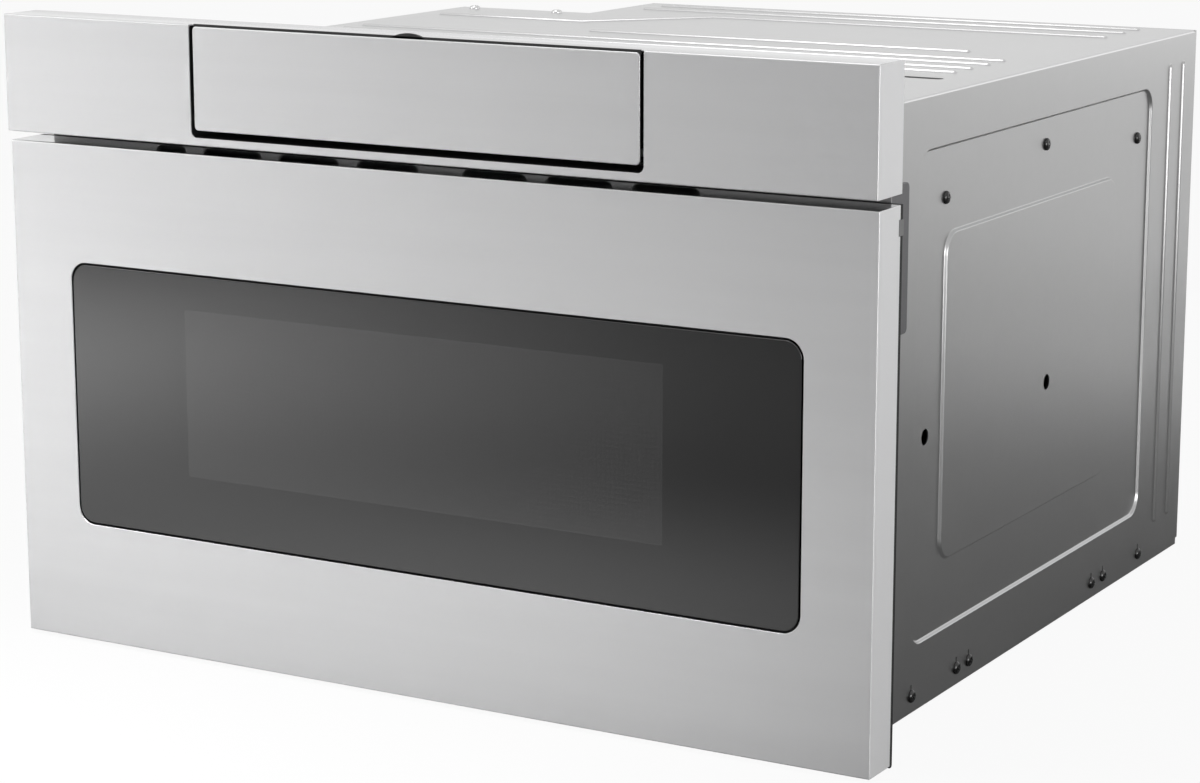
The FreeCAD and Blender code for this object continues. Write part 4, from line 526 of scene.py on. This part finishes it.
def build_cover():
    low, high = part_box("top_cover")
    recess_low, recess_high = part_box("cord_recess")
    cut_x, cut_y = recess_high.x - sheet_wall, recess_low.y + sheet_wall
    rise = 0.0012
    rib_half, rib_slope = 0.0025, 0.0018
    slit_half = 0.0038
    fold_steps = 5
    face_z = high.z - rise
    left, right = low.x + fold_radius, high.x - fold_radius
    front, rear = low.y, high.y
    sheet = PressedSheet(lambda x, y, height: (x, y, face_z + height))
    outline = [
        (left, front),
        (right, front),
        (right, rear),
        (cut_x, rear),
        (cut_x, cut_y),
        (left, cut_y),
    ]
    rib_left = low.x + 0.021
    rib_right = high.x - 0.036
    backs = (0.214, 0.2391, 0.2664, 0.2908)
    paths = [[(rib_left, front + back), (rib_right, front + back)] for back in backs]
    paths.append([(-0.090, front + 0.3342), (0.194, front + 0.3342)])
    paths += [[(cut_x + 0.020, rear - back), (rib_right, rear - back)] for back in (0.045, 0.017)]
    low_y = front + 0.3918
    high_y = front + 0.4688
    bend = low.x + 0.141
    paths.append([(rib_left, low_y), (bend, low_y), (bend + 0.068, high_y), (rib_right, high_y)])
    rings = [sheet.ring(outline)]
    for path in paths:
        rib_edge, rib_top = sheet.press(
            lambda inset: rib_outline(path, rib_half - inset), rib_slope, 0.0, rise, 5
        )
        rings.append(rib_edge)
        sheet.flat(rib_top)
    slit = [(high.x - 0.1205, front + 0.1775), (high.x - 0.0309, front + 0.1775)]
    rings.append(sheet.ring(rib_outline(slit, slit_half)))
    sheet.flat(*rings)
    for side, edge_x, ends in ((1, right, (front, rear)), (-1, left, (cut_y, front))):
        fold = []
        for step in range(fold_steps + 1):
            turn = math.pi / 2 * step / fold_steps
            x = edge_x + side * fold_radius * math.sin(turn)
            fold.append(sheet.ring([(x, y) for y in ends], fold_radius * (math.cos(turn) - 1)))
        for (one, two), (four, three) in zip(fold, fold[1:]):
            sheet.bm.faces.new((one, two, three, four))
    bmesh.ops.remove_doubles(sheet.bm, verts=sheet.bm.verts[:], dist=0.00001)
    cover = plain_mesh("cover_sheet", sheet.face((0, 0, 1)), cover_zinc, wall=sheet_wall)
    fit(cover, "chassis", "galvanised", "top_cover")


build_cover()

# ---- Rear panel and cord corner ------------------------------------------------------------------
# The rear pan is pierced in front of the fan. The cut-away corner is lined with folded sheet, and a
# two-part black bushing sits in it, with gripping ribs round its flange.

dress(chassis_zinc, "rear_panel", "cord_recess")


def turned(profile, to_space, steps, wave, teeth):
    """A closed turned shape with ribs round it. The profile is (radius, place) along its axis."""
    bm = bmesh.new()
    rings = []
    for radius, place in profile:
        ring = []
        for step in range(steps):
            turn = 2 * math.pi * step / steps
            out = radius * (1 + wave * math.cos(teeth * turn))
            ring.append(bm.verts.new(to_space(out * math.cos(turn), out * math.sin(turn), place)))
        rings.append(ring)
    for low, high in zip(rings, rings[1:] + rings[:1]):
        bridge(bm, low, high)
    bmesh.ops.recalc_face_normals(bm, faces=bm.faces[:])
    return bm


def build_gland():
    low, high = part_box("cord_gland")
    middle = (low + high) / 2
    outer = (high.x - low.x) / 2
    bore = 0.0041
    length = high.y - low.y
    profile = [
        (bore, 0.0),
        (bore + 0.0012, 0.0),
        (outer * 0.62, 0.0),
        (outer * 0.68, 0.0015),
        (outer * 0.68, 0.0065),
        (outer * 0.97, 0.0075),
        (outer * 0.98, 0.0085),
        (outer * 0.98, 0.0115),
        (outer * 0.92, 0.0125),
        (outer * 0.74, 0.0130),
        (outer * 0.70, length - 0.0015),
        (outer * 0.64, length),
        (bore + 0.0012, length),
        (bore, length - 0.0006),
    ]
    to_space = lambda a, b, along: (middle.x + a, low.y + along, middle.z + b)
    finish = moulding("gland_black", (0.015, 0.015, 0.015), 0.45)
    gland = plain_mesh("cord_bushing", turned(profile, to_space, steps=72, wave=0.012, teeth=18), finish)
    fit(gland, "chassis", "black_plastic", "cord_gland")


build_gland()

# ---- Front frame and side plates -----------------------------------------------------------------
# The front sheet carries the vents, the slots for the slides and the mounting flanges. A dark
# painted plate with round corners stands on each side sheet close behind it.

# The front frame's zinc is darker than the other sheets, as painted shade for the gap it sits in.
dress(zinc_sheet("frame_zinc", 0.28, 0.30), "front_frame")


def painted(name, colour, roughness):
    """Thin satin paint on sheet, with a slight orange peel."""
    finish = Finish(name, Coat_Weight=0.15, Coat_Roughness=0.3)
    peel = finish.noise(420, 2)
    cloud = finish.noise(18, 2)
    tone = finish.blend(cloud, shade(colour, 0.9), shade(colour, 1.1))
    finish.set(Base_Color=tone, Roughness=peel * 0.12 + roughness)
    return finish.bump(peel, 0.00003, 0.25)


def eased_plate(name, loop_at, to_space, thickness, ease, finish):
    """A flat plate with an outline given by its inset, and rounded edges."""
    steps = 3
    levels = [(ease * 1.5, 0.0)]
    for step in range(steps + 1):
        turn = math.pi / 2 * step / steps
        levels.append((ease * (1 - math.sin(turn)), ease * (1 - math.cos(turn))))
    levels += [(inset, thickness - place) for inset, place in reversed(levels)]
    bm = bmesh.new()
    rings = [[bm.verts.new(to_space(a, b, place)) for a, b in loop_at(inset)] for inset, place in levels]
    for low, high in zip(rings, rings[1:]):
        bridge(bm, low, high)
    bm.faces.new(rings[0])
    bm.faces.new(rings[-1])
    bmesh.ops.recalc_face_normals(bm, faces=bm.faces[:])
    return plain_mesh(name, bm, finish)


def build_side_plates():
    low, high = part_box("side_baffles")
    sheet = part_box("side_panel_right")[1].x - bead_rise
    thickness = high.x - sheet
    finish = painted("plate_grey", (0.075, 0.075, 0.08), 0.38)
    outline = inset_box(low.y, high.y, low.z, high.z, 0.003, shrink=0)
    for side, label in ((-1, "left"), (1, "right")):
        to_space = lambda y, z, out: (side * (sheet + out), y, z)
        plate = eased_plate(f"side_plate_{label}", outline, to_space, thickness, 0.0004, finish)
        fit(plate, "chassis", "dark_label", "side_baffles")


build_side_plates()

# ---- Chassis screws ------------------------------------------------------------------------------
# Zinc-plated pan-head screws with a cross recess, driven through the sheets from outside. One
# screw is drawn here and set at every place and along every axis that the CAD screws have.


class Repeat(Tree):
    """A Geometry Nodes tree with named inputs, run on a draft to give one plain mesh."""

    kinds = {float: "NodeSocketFloat", int: "NodeSocketInt", bpy.types.Object: "NodeSocketObject"}

    def __init__(self, name, **inputs):
        group = bpy.data.node_groups.new(name, "GeometryNodeTree")
        super().__init__(group)
        group.interface.new_socket("Geometry", in_out="INPUT", socket_type="NodeSocketGeometry")
        group.interface.new_socket("Geometry", in_out="OUTPUT", socket_type="NodeSocketGeometry")
        self.identifiers = {}
        self.values = inputs
        for key, value in inputs.items():
            kind = self.kinds[type(value)]
            socket = group.interface.new_socket(key, in_out="INPUT", socket_type=kind)
            self.identifiers[key] = socket.identifier
        self.entry = group.nodes.new("NodeGroupInput")

    def given(self, key="Geometry"):
        return Value(self, self.entry.outputs[key])

    def run(self, draft, geometry, finish, wall=0.0):
        """End the tree in plain geometry with its material, and make the draft its result."""
        real = self.node("GeometryNodeRealizeInstances", sockets={"Geometry": geometry})
        sockets = {"Geometry": real, "Material": finish.material}
        coated = self.node("GeometryNodeSetMaterial", sockets=sockets)
        exit_node = self.tree.nodes.new("NodeGroupOutput")
        self.feed(exit_node.inputs["Geometry"], coated)
        modifier = draft.modifiers.new("pattern", "NODES")
        modifier.node_group = self.tree
        for key, value in self.values.items():
            modifier[self.identifiers[key]] = value
        if wall:
            draft.modifiers.new("wall", "SOLIDIFY").thickness = wall
        return bake(draft, crisp=crisp_angle)


cover_height = 0.36
head_height = 0.0022


def draw_screw(head, shank, height, length):
    """A pan head with a cross recess, standing on the origin, and its shank below."""
    bm = bmesh.new()
    profile = [(shank, -length), (shank, 0), (head, 0), (head, 0.35 * height), (0.86 * head, 0.75 * height)]
    rings = []
    for radius, z in profile + [(0.62 * head, 0.97 * height)]:
        rings.append([bm.verts.new((x, y, z)) for x, y in circle(0, 0, radius, 24)])
    for low, high in zip(rings, rings[1:]):
        bridge(bm, low, high)
    arm = 0.52 * head
    slot = 0.13 * head
    cross = []
    for x, y in ((1, 0), (0, 1), (-1, 0), (0, -1)):
        cross.append((x * arm + y * slot, y * arm - x * slot))
        cross.append((x * arm - y * slot, y * arm + x * slot))
        cross.append(((x - y) * slot, (y + x) * slot))
    rim = [bm.verts.new((x, y, height)) for x, y in cross]
    sole = [bm.verts.new((x * 0.45, y * 0.45, 0.35 * height)) for x, y in cross]
    fill_between(bm, rings[-1], rim)
    bridge(bm, rim, sole)
    bm.faces.new(sole)
    bm.faces.new(rings[0])
    bmesh.ops.recalc_face_normals(bm, faces=bm.faces[:])
    return bpy.data.objects.new("screw", mesh_of("screw", bm))


def screw_zinc():
    """Zinc, bright on the cover's screws and painted nearly black on the sides' screws as painted shade."""
    finish = Finish("screw_zinc", Metallic=1.0)
    unshaded_on_cover = finish.along("Z") > cover_height
    wear = finish.noise(400, 2)
    finish.set(
        # The sides' screws get a near-black colour as painted shade; the cover's keep the bright zinc.
        Base_Color=finish.blend(unshaded_on_cover * 0.8 + wear * 0.1, grey(0.02), grey(0.70)),
        Roughness=wear * 0.06 + 0.14,
    )
    return finish


def build_screws():
    bm = bmesh.new()
    facing = bm.verts.layers.float_vector.new("facing")
    for low, high in loose_parts("chassis_screws"):
        middle = (low + high) / 2
        if middle.z > cover_height:
            place, way = (middle.x, middle.y, high.z - head_height), (0, 0, 1)
        elif middle.x > 0:
            place, way = (high.x - head_height, middle.y, middle.z), (1, 0, 0)
        else:
            place, way = (low.x + head_height, middle.y, middle.z), (-1, 0, 0)
        bm.verts.new(place)[facing] = way
    draft = link_object("screws", mesh_of("screws", bm))
    screw = draw_screw(head=0.0040, shank=0.0019, height=head_height, length=0.005)
    tree = Repeat("screw_set", Screw=screw, Size=1.0)
    shape = tree.node("GeometryNodeObjectInfo", sockets={"Object": tree.given("Screw")}, output="Geometry")
    way = tree.node("GeometryNodeInputNamedAttribute", {"data_type": "FLOAT_VECTOR"}, {"Name": "facing"})
    rotation = tree.node("FunctionNodeAlignRotationToVector", {"axis": "Z"}, {"Vector": way})
    sockets = {"Points": tree.given(), "Instance": shape, "Rotation": rotation, "Scale": tree.given("Size")}
    placed = tree.node("GeometryNodeInstanceOnPoints", sockets=sockets)
    screws = tree.run(draft, placed, screw_zinc())
    fit(screws, "chassis", "zinc", "chassis_screws")


build_screws()

# ---- Oven cavity ---------------------------------------------------------------------------------
# Spot-welded steel box with baked grey enamel, finely flecked. Zinc-coated angles hang it between
# the sides, and a lamp in a ceramic holder lights it through a field of small holes.


def enamel(name, colour, fleck, roughness=0.28):
    """Baked enamel: a slight orange peel with fine flecks in it."""
    finish = Finish(name, Coat_Weight=0.3, Coat_Roughness=0.12)
    peel = finish.noise(160, 2)
    flecks = finish.noise(1900, 1, 0.4) > 0.63
    cloud = finish.noise(9, 2)
    base = finish.blend(cloud, shade(colour, 0.95), shade(colour))
    finish.set(Base_Color=finish.blend(flecks, base, shade(fleck)), Roughness=peel * 0.08 + roughness)
    return finish.bump(peel, 0.00005, 0.3)


def bare_metal(name, colour, roughness, stretch=(1, 1, 1)):
    """Bare metal with fine drawing or casting marks."""
    finish = Finish(name, Metallic=1.0)
    marks = finish.noise(1100, 3, 0.6, stretch)
    stain = finish.noise(35, 2)
    tone = finish.blend(stain, shade(colour, 0.86), shade(colour))
    finish.set(Base_Color=tone, Roughness=marks * 0.14 + roughness)
    return finish.bump(marks, 0.00002, 0.3)


cavity_enamel = enamel("cavity_enamel", (0.30, 0.30, 0.295), (0.50, 0.50, 0.49))
dress(cavity_enamel, "oven_cavity")
bracket_zinc = zinc_sheet("bracket_zinc", 0.60, 0.30)
dress(bracket_zinc, "cavity_hangers")
dress(moulding("lamp_ceramic", (0.72, 0.70, 0.65), 0.55, 900), "cavity_lamp")

# ---- Stirrer, waveguide and magnetron ------------------------------------------------------------
# Microwaves run from the finned magnetron along a sheet duct to a round dome, where a bent
# aluminium stirrer turns above a mica plate. All of it sits on the cavity's roof.


def mica():
    finish = Finish("mica", Coat_Weight=0.2)
    flakes = finish.node("ShaderNodeTexVoronoi", sockets={"Vector": finish.place(), "Scale": 260.0})
    cloud = finish.noise(50, 3)
    base = finish.blend(cloud, (0.50, 0.44, 0.34, 1), (0.62, 0.57, 0.46, 1))
    tone = finish.blend(flakes * 0.6, base, (0.72, 0.69, 0.60, 1))
    finish.set(Base_Color=tone, Roughness=flakes * 0.2 + 0.3)
    return finish.bump(flakes, 0.00004, 0.2)


dress(mica(), "stirrer_cover")
dress(bare_metal("stirrer_aluminium", (0.78, 0.78, 0.79), 0.26, (0.1, 1, 1)), "stirrer", "magnetron")
dress(zinc_sheet("duct_zinc", 0.66, 0.28), "stirrer_dome", "waveguide")
motor_zinc = bare_metal("motor_zinc", (0.60, 0.60, 0.61), 0.30)
dress(motor_zinc, "stirrer_motor")

# ---- Transformer, capacitor and power board ------------------------------------------------------
# A stack of thin steel laminations with varnished copper windings, an oil-filled capacitor in an
# aluminium can, and a green board with its components.


def laminations():
    """Edges of stacked steel sheets, 0.5 mm apart."""
    finish = Finish("laminations", Metallic=0.8)
    groove = (finish.along("Y") * 2000).wave()
    rust = finish.noise(60, 3)
    tone = finish.blend(rust, (0.10, 0.09, 0.085, 1), (0.16, 0.13, 0.11, 1))
    finish.set(Base_Color=tone, Roughness=rust * 0.2 + 0.4)
    return finish.bump(groove, 0.0001, 0.6)


def windings():
    """Varnished copper wire laid side by side, 900 turns to the metre."""
    finish = Finish("windings", Metallic=0.7, Coat_Weight=0.6, Coat_Roughness=0.2)
    wire = (finish.along("Z") * 900).wave()
    tone = finish.blend(finish.noise(80, 2), (0.42, 0.16, 0.06, 1), (0.60, 0.26, 0.11, 1))
    finish.set(Base_Color=tone, Roughness=wire * 0.2 + 0.25)
    return finish.bump(wire, 0.0002, 0.8)


def circuit_board(name, colour):
    """Solder mask over copper tracks."""
    finish = Finish(name, Coat_Weight=0.4, Coat_Roughness=0.2)
    tracks = finish.node(
        "ShaderNodeTexVoronoi", {"distance": "CHEBYCHEV", "feature": "F1"},
        {"Vector": finish.place(), "Scale": 180.0},
    )
    track = tracks > 0.42
    tone = finish.blend(track, shade(colour), shade(colour, 1.7))
    finish.set(Base_Color=tone, Roughness=track * 0.1 + 0.35)
    return finish.bump(track, 0.00005, 0.4)


dress(laminations(), "transformer_core")
dress(windings(), "transformer_coil")
dress(bare_metal("capacitor_can", (0.70, 0.70, 0.71), 0.24, (1, 1, 0.1)), "capacitor")
dress(circuit_board("power_board_green", (0.010, 0.085, 0.035)), "power_board")

# ---- Fan -----------------------------------------------------------------------------------------
# A square black shroud stands behind the rear grille. A moulded black wheel is pressed on the
# shaft of a small motor inside it.

dress(moulding("fan_black", (0.022, 0.022, 0.024), 0.42), "fan_shroud", "fan_wheel")
dress(motor_zinc, "fan_motor")

# ---- Slides and drive ----------------------------------------------------------------------------
# Roll-formed zinc-plated members that run inside one another, lightly greased, with brackets and
# arms of zinc-coated sheet. A gear motor moves the drawer by a white acetal pinion and rack.

dress(
    bare_metal("slide_zinc", (0.66, 0.67, 0.68), 0.22, (1, 0.03, 1)),
    "rail_outers", "rail_mid_left", "rail_mid_right", "rail_inners",
)
dress(bracket_zinc, "rail_brackets", "motor_bracket", "drawer_arms")
dress(motor_zinc, "drive_motor")
acetal = moulding("acetal_white", (0.74, 0.73, 0.70), 0.36, 1500)
dress(acetal, "drawer_rack", "drive_pinion")

# ---- Interlocks ----------------------------------------------------------------------------------
# White switch housings behind the front frame, black plungers, and bright hooks that reach in
# through the front frame as the drawer shuts.

dress(acetal, "switch_holders")
dress(moulding("plunger_black", (0.02, 0.02, 0.02), 0.40), "switch_plungers")
hook_zinc = bare_metal("hook_zinc", (0.70, 0.70, 0.71), 0.24)
dress(hook_zinc, "latch_hooks")

# ---- Drawer tray ---------------------------------------------------------------------------------
# Welded steel tray with the cavity's enamel and a rolled bead along the top of its low walls. A
# flecked ceramic plate lies on its floor, and acetal pads under its rear slide in the cavity.

dress(cavity_enamel, "drawer_tray")
dress(acetal, "tray_glides")
dress(enamel("ceramic_plate", (0.60, 0.60, 0.58), (0.30, 0.30, 0.30), 0.22), "ceramic_base")


def build_tray_bead():
    low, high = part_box("drawer_tray")
    tray_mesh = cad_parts["drawer_tray"].data
    wall = 0.002
    top = max(vert.co.z for vert in tray_mesh.vertices if vert.co.y > 0)
    x, rear = high.x - wall / 2, high.y - wall / 2
    front = low.y + 0.0055
    path = [(-x, front, top), (-x, rear, top), (x, rear, top), (x, front, top)]
    mesh = bpy.data.meshes.new("tray_bead")
    mesh.from_pydata(path, [(0, 1), (1, 2), (2, 3)], [])
    tree = Repeat("rolled_bead", Bead=0.0017, Corner=0.006)
    curve = tree.node("GeometryNodeMeshToCurve", sockets={"Mesh": tree.given()})
    sockets = {"Curve": curve, "Radius": tree.given("Corner"), "Count": 8, "Limit Radius": True}
    bent = tree.node("GeometryNodeFilletCurve", {"mode": "POLY"}, sockets)
    sockets = {"Resolution": 14, "Radius": tree.given("Bead")}
    profile = tree.node("GeometryNodeCurvePrimitiveCircle", sockets=sockets)
    sockets = {"Curve": bent, "Profile Curve": profile, "Fill Caps": True}
    swept = tree.node("GeometryNodeCurveToMesh", sockets=sockets)
    bead = tree.run(link_object("tray_bead", mesh), swept, cavity_enamel)
    fit(bead, "drawer", "tray_enamel")


build_tray_bead()

# ---- Door core, liner and shield -----------------------------------------------------------------
# The drawer front's black moulded core carries the glass and the skin, and a black painted plate
# backs it. A steel shield with fine holes lies behind the glass, with clear glass on the tray side.

black_moulding = moulding("black_moulding", (0.012, 0.012, 0.012), 0.42)
dress(black_moulding, "door_core")
dress(moulding("liner_black", (0.006, 0.006, 0.006), 0.62), "door_liner")
dress(moulding("bumper_grey", (0.17, 0.17, 0.17), 0.5), "bumpers")


def clear_glass():
    finish = Finish("clear_glass", Transmission_Weight=0.95, IOR=1.5)
    haze = finish.noise(12, 2)
    tone = finish.blend(haze, (0.90, 0.94, 0.93, 1), (0.94, 0.97, 0.96, 1))
    return finish.set(Base_Color=tone, Roughness=haze * 0.03 + 0.02)


def draw_tile(pitch, radius):
    """A square of sheet with one eight-sided hole in it."""
    sides = 8
    half = pitch / 2
    signs = [(1, 0), (1, 1), (0, 1), (-1, 1), (-1, 0), (-1, -1), (0, -1), (1, -1)]
    square = [(half * x, half * y) for x, y in signs]
    points = [(x, y, 0) for x, y in square + circle(0, 0, radius, sides)]
    pairs = [(step, (step + 1) % sides) for step in range(sides)]
    mesh = bpy.data.meshes.new("tile")
    mesh.from_pydata(points, [], [(one, two, sides + two, sides + one) for one, two in pairs])
    return bpy.data.objects.new("tile", mesh)


def build_screen():
    low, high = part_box("window_screen")
    middle = (low + high) / 2
    pitch = 0.0045
    hole_radius = 0.0016
    border = 0.004
    play = 0.0001
    across, up = high.x - low.x, high.z - low.z
    columns, rows = int((across - 2 * border) / pitch), int((up - 2 * border) / pitch)
    rim = bmesh.new()
    rings = []
    for x, y in ((across / 2, up / 2), (columns * pitch / 2, rows * pitch / 2)):
        rings.append([rim.verts.new((a, b, 0)) for a, b in ((x, -y), (x, y), (-x, y), (-x, -y))])
    bridge(rim, *rings)
    draft = link_object("shield", mesh_of("shield", rim))
    tile = draw_tile(pitch, hole_radius)
    tree = Repeat("shield_holes", Tile=tile, Columns=columns, Rows=rows, Pitch=pitch)
    sockets = {
        "Size X": (tree.given("Columns") - 1) * tree.given("Pitch"),
        "Size Y": (tree.given("Rows") - 1) * tree.given("Pitch"),
        "Vertices X": tree.given("Columns"),
        "Vertices Y": tree.given("Rows"),
    }
    grid = tree.node("GeometryNodeMeshGrid", sockets=sockets, output="Mesh")
    shape = tree.node("GeometryNodeObjectInfo", sockets={"Object": tree.given("Tile")}, output="Geometry")
    tiles = tree.node("GeometryNodeInstanceOnPoints", sockets={"Points": grid, "Instance": shape})
    sheet = tree.node("GeometryNodeRealizeInstances", sockets={"Geometry": tiles})
    joined = tree.node("GeometryNodeJoinGeometry")
    for part in (sheet, tree.given()):
        tree.feed(joined.socket.node.inputs["Geometry"], part)
    whole = tree.node("GeometryNodeMergeByDistance", sockets={"Geometry": joined, "Distance": 0.00001})
    place = (middle.x, low.y + play, middle.z)
    sockets = {"Geometry": whole, "Rotation": (math.pi / 2, 0, 0), "Translation": place}
    stood = tree.node("GeometryNodeTransform", sockets=sockets)
    finish = bare_metal("shield_steel", (0.10, 0.10, 0.105), 0.35)
    screen = tree.run(draft, stood, finish, wall=high.y - low.y - 2 * play)
    fit(screen, "drawer", "screen_steel", "window_screen")


dress(clear_glass(), "inner_window")
build_screen()

# ---- Drawer front --------------------------------------------------------------------------------
# One folded skin of stainless sheet, brushed in long horizontal strokes, with soft edges. Its narrow
# top face is smoother, and its right end is more matt and painted paler, as painted light.


def brushed_stainless():
    finish = Finish("brushed_stainless", Metallic=1.0, Anisotropic=0.7, Anisotropic_Rotation=0.25)
    strokes = finish.noise(900, 4, 0.6, (0.02, 1, 1))
    broad = finish.noise(60, 2, 0.5, (0.05, 1, 1))
    top = finish.along("Z", "Normal") > 0.9
    end = finish.along("X", "Normal") > 0.9
    face = finish.blend(broad, (0.565, 0.565, 0.57, 1), (0.605, 0.605, 0.61, 1))
    # Faces turned to +X, the right ends, get a much paler colour: painted light.
    finish.set(
        Base_Color=finish.blend(end, face, (0.86, 0.86, 0.865, 1)),
        Roughness=(strokes * 0.10 + 0.36) * (1 - top * 0.6 + end * 0.6),
    )
    return finish.bump(strokes, 0.00003, 0.5)


def eased_copy(name, node, width, finish):
    """A CAD node's own shape with its sharp edges rounded."""
    bm = bmesh.new()
    bm.from_mesh(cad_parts[node].data)
    bmesh.ops.remove_doubles(bm, verts=bm.verts[:], dist=0.000001)
    flat = math.radians(0.5)
    bmesh.ops.dissolve_limit(bm, angle_limit=flat, verts=bm.verts[:], edges=bm.edges[:])
    return plain_mesh(name, bm, finish, bevel=width)


stainless = brushed_stainless()
fit(eased_copy("drawer_skin", "drawer_front", 0.00045, stainless), "drawer", "stainless", "drawer_front")

# ---- Window glass --------------------------------------------------------------------------------
# Dark glass with ground edges, set nearly flush in the drawer front with a thin joint round it. The
# shield's dots show faintly through its middle.


def dark_glass():
    finish = Finish("dark_glass", Roughness=0.08, IOR=1.75)
    half_x, half_z = 0.1695, 0.05325
    middle_z = 0.17425
    pitch = 0.003
    haze = finish.noise(8, 1)
    x, z = finish.along("X"), finish.along("Z") - middle_z
    inside = (abs(x) < half_x) * (abs(z) < half_z)
    dots = inside * ((x / pitch).wave() + (z / pitch).wave() > 1.25)
    glass = finish.blend(haze, grey(0.002), grey(0.003))
    return finish.set(Base_Color=finish.blend(inside * 0.40 + dots * 0.30, glass, grey(0.034)))


def build_glass():
    low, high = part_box("drawer_glass")
    outline = inset_box(low.x, high.x, low.z, high.z, 0.0105)
    to_space = lambda x, z, back: (x, low.y + back, z)
    glass = eased_plate("window_glass", outline, to_space, high.y - low.y, 0.0005, dark_glass())
    fit(glass, "drawer", "dark_glass", "drawer_glass")


build_glass()

# ---- Fascia --------------------------------------------------------------------------------------
# The same brushed sheet, folded all round, with a notch for the control flap out of its top edge. A
# black moulding fills it from behind.

fit(eased_copy("fascia_skin", "top_panel", 0.0003, stainless), "chassis", "stainless", "top_panel")
dress(black_moulding, "panel_carrier")

# ---- Control flap --------------------------------------------------------------------------------
# Stainless skin over a black wedge that turns on two pins near its lower edge. A black strip along
# its top stands proud of it as painted shadow for the gap there, and behind that lies a slanted touch
# glass with a lit clock and printed legends.


def build_flap_skin():
    """The front sheet, and the hem that is folded back under it."""
    low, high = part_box("flap_face")
    sheet = 0.0022
    hem = 0.0009
    gap = 0.0004
    indent = 0.002
    outline = inset_box(low.x + gap, high.x - gap, low.z, high.z - 0.0003, 0.0025)
    to_space = lambda x, z, back: (x, low.y + back, z)
    front = eased_plate("flap_skin", outline, to_space, sheet, 0.0007, stainless)
    fit(front, "control_flap", "stainless", "flap_face")
    outline = inset_box(low.x + indent, high.x - indent, low.y + sheet / 2, high.y, 0.001, shrink=0)
    to_space = lambda x, y, up: (x, y, low.z + 0.0001 + up)
    under = eased_plate("flap_hem", outline, to_space, hem, 0.0003, stainless)
    fit(under, "control_flap", "stainless", "flap_face")


def build_flap_gap_shadow():
    low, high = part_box("flap_face")
    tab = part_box("pull_tab")[0]
    gap = 0.0002
    rise = 0.0011
    thickness = 0.0012
    outline = inset_box(low.x + gap, high.x - gap, tab.z - 0.001, high.z + rise, 0.0007, shrink=0)
    to_space = lambda x, z, back: (x, tab.y + back, z)
    # A black strip rising above the flap's top edge: painted shadow for the gap there.
    gap_shadow_strip = eased_plate("flap_lip", outline, to_space, thickness, 0.0002, black_moulding)
    fit(gap_shadow_strip, "control_flap", "black_plastic")


build_flap_skin()
build_flap_gap_shadow()
dress(black_moulding, "flap_housing", "pull_tab")
dress(hook_zinc, "flap_pins")
dress(circuit_board("flap_board_green", (0.010, 0.085, 0.035)), "flap_board")


def touch_black():
    finish = Finish("touch_glass", Roughness=0.06, IOR=1.5)
    haze = finish.noise(20, 2)
    return finish.set(Base_Color=finish.blend(haze, grey(0.006), grey(0.009)))


def print_ink(name, colour, glow=0.0):
    """Printed or lit legends."""
    finish = Finish(name, Roughness=0.5, Emission_Strength=glow)
    grain = finish.noise(3000, 1)
    ink = finish.blend(grain, shade(colour), shade(colour, 1.1))
    return finish.set(Base_Color=ink, Emission_Color=ink)


def on_glass(a, b, lift):
    """A point over the slanted glass: across it, up it and out of it."""
    middle = Vector((0, -0.2790, 0.3971))
    up, outward = Vector((0, 0.883, -0.469)), Vector((0, 0.469, 0.883))
    return middle + Vector((1, 0, 0)) * a + up * b + outward * lift


def add_words(bm, words, a, b, height):
    curve = bpy.data.curves.new("words", "FONT")
    curve.body = words
    curve.size = height
    curve.align_x = "CENTER"
    curve.align_y = "CENTER"
    curve.resolution_u = 2
    holder = link_object("words", curve)
    graph = bpy.context.evaluated_depsgraph_get()
    flat = bpy.data.meshes.new_from_object(holder.evaluated_get(graph))
    bpy.data.objects.remove(holder)
    for vert in flat.vertices:
        vert.co = on_glass(a + vert.co.x, b + vert.co.y, 0.00006)
    bm.from_mesh(flat)


def add_frame(bm, a, b, half_a, half_b):
    """A thin printed line round a key."""
    stroke = 0.00025
    rings = []
    for inset in (0.0, stroke):
        edges = (a - half_a + inset, a + half_a - inset, b - half_b + inset, b + half_b - inset)
        loop = round_box(*edges, 0.0012, 4)
        rings.append([bm.verts.new(on_glass(x, y, 0.00005)) for x, y in loop])
    bridge(bm, *rings)


def build_legends():
    """Legends and key frames, laid on the slanted glass and a hair proud of it."""
    row = 0.0058
    key_half = 0.0050
    clock_middle = -0.100
    first_digit, digit_pitch = -0.048, 0.0165
    first_word, word_pitch = 0.051, 0.0305
    printed = bmesh.new()
    for place, digit in enumerate("1234567890"):
        a = first_digit + digit_pitch * (place % 5)
        b = row if place < 5 else -row
        add_words(printed, digit, a, b, 0.0070)
        add_frame(printed, a, b, 0.0072, key_half)
    for place, words in enumerate(("POWER", "TIMER", "START", "STOP", "OPEN", "CLOSE")):
        a = first_word + word_pitch * (place // 2)
        b = row if place % 2 == 0 else -row
        add_words(printed, words, a, b, 0.0046)
        add_frame(printed, a, b, 0.0140, key_half)
    add_frame(printed, clock_middle, 0.0, 0.031, 0.0105)
    ink = print_ink("legend_ink", (0.72, 0.72, 0.72))
    fit(plain_mesh("touch_legends", printed, ink), "control_flap", "display")
    clock = bmesh.new()
    add_words(clock, "12:00", clock_middle, 0.0, 0.0150)
    lit = print_ink("clock_light", (0.35, 0.75, 0.95), 2.0)
    fit(plain_mesh("clock_digits", clock, lit), "control_flap", "display")


dress(touch_black(), "touch_glass", "display_module")
build_legends()
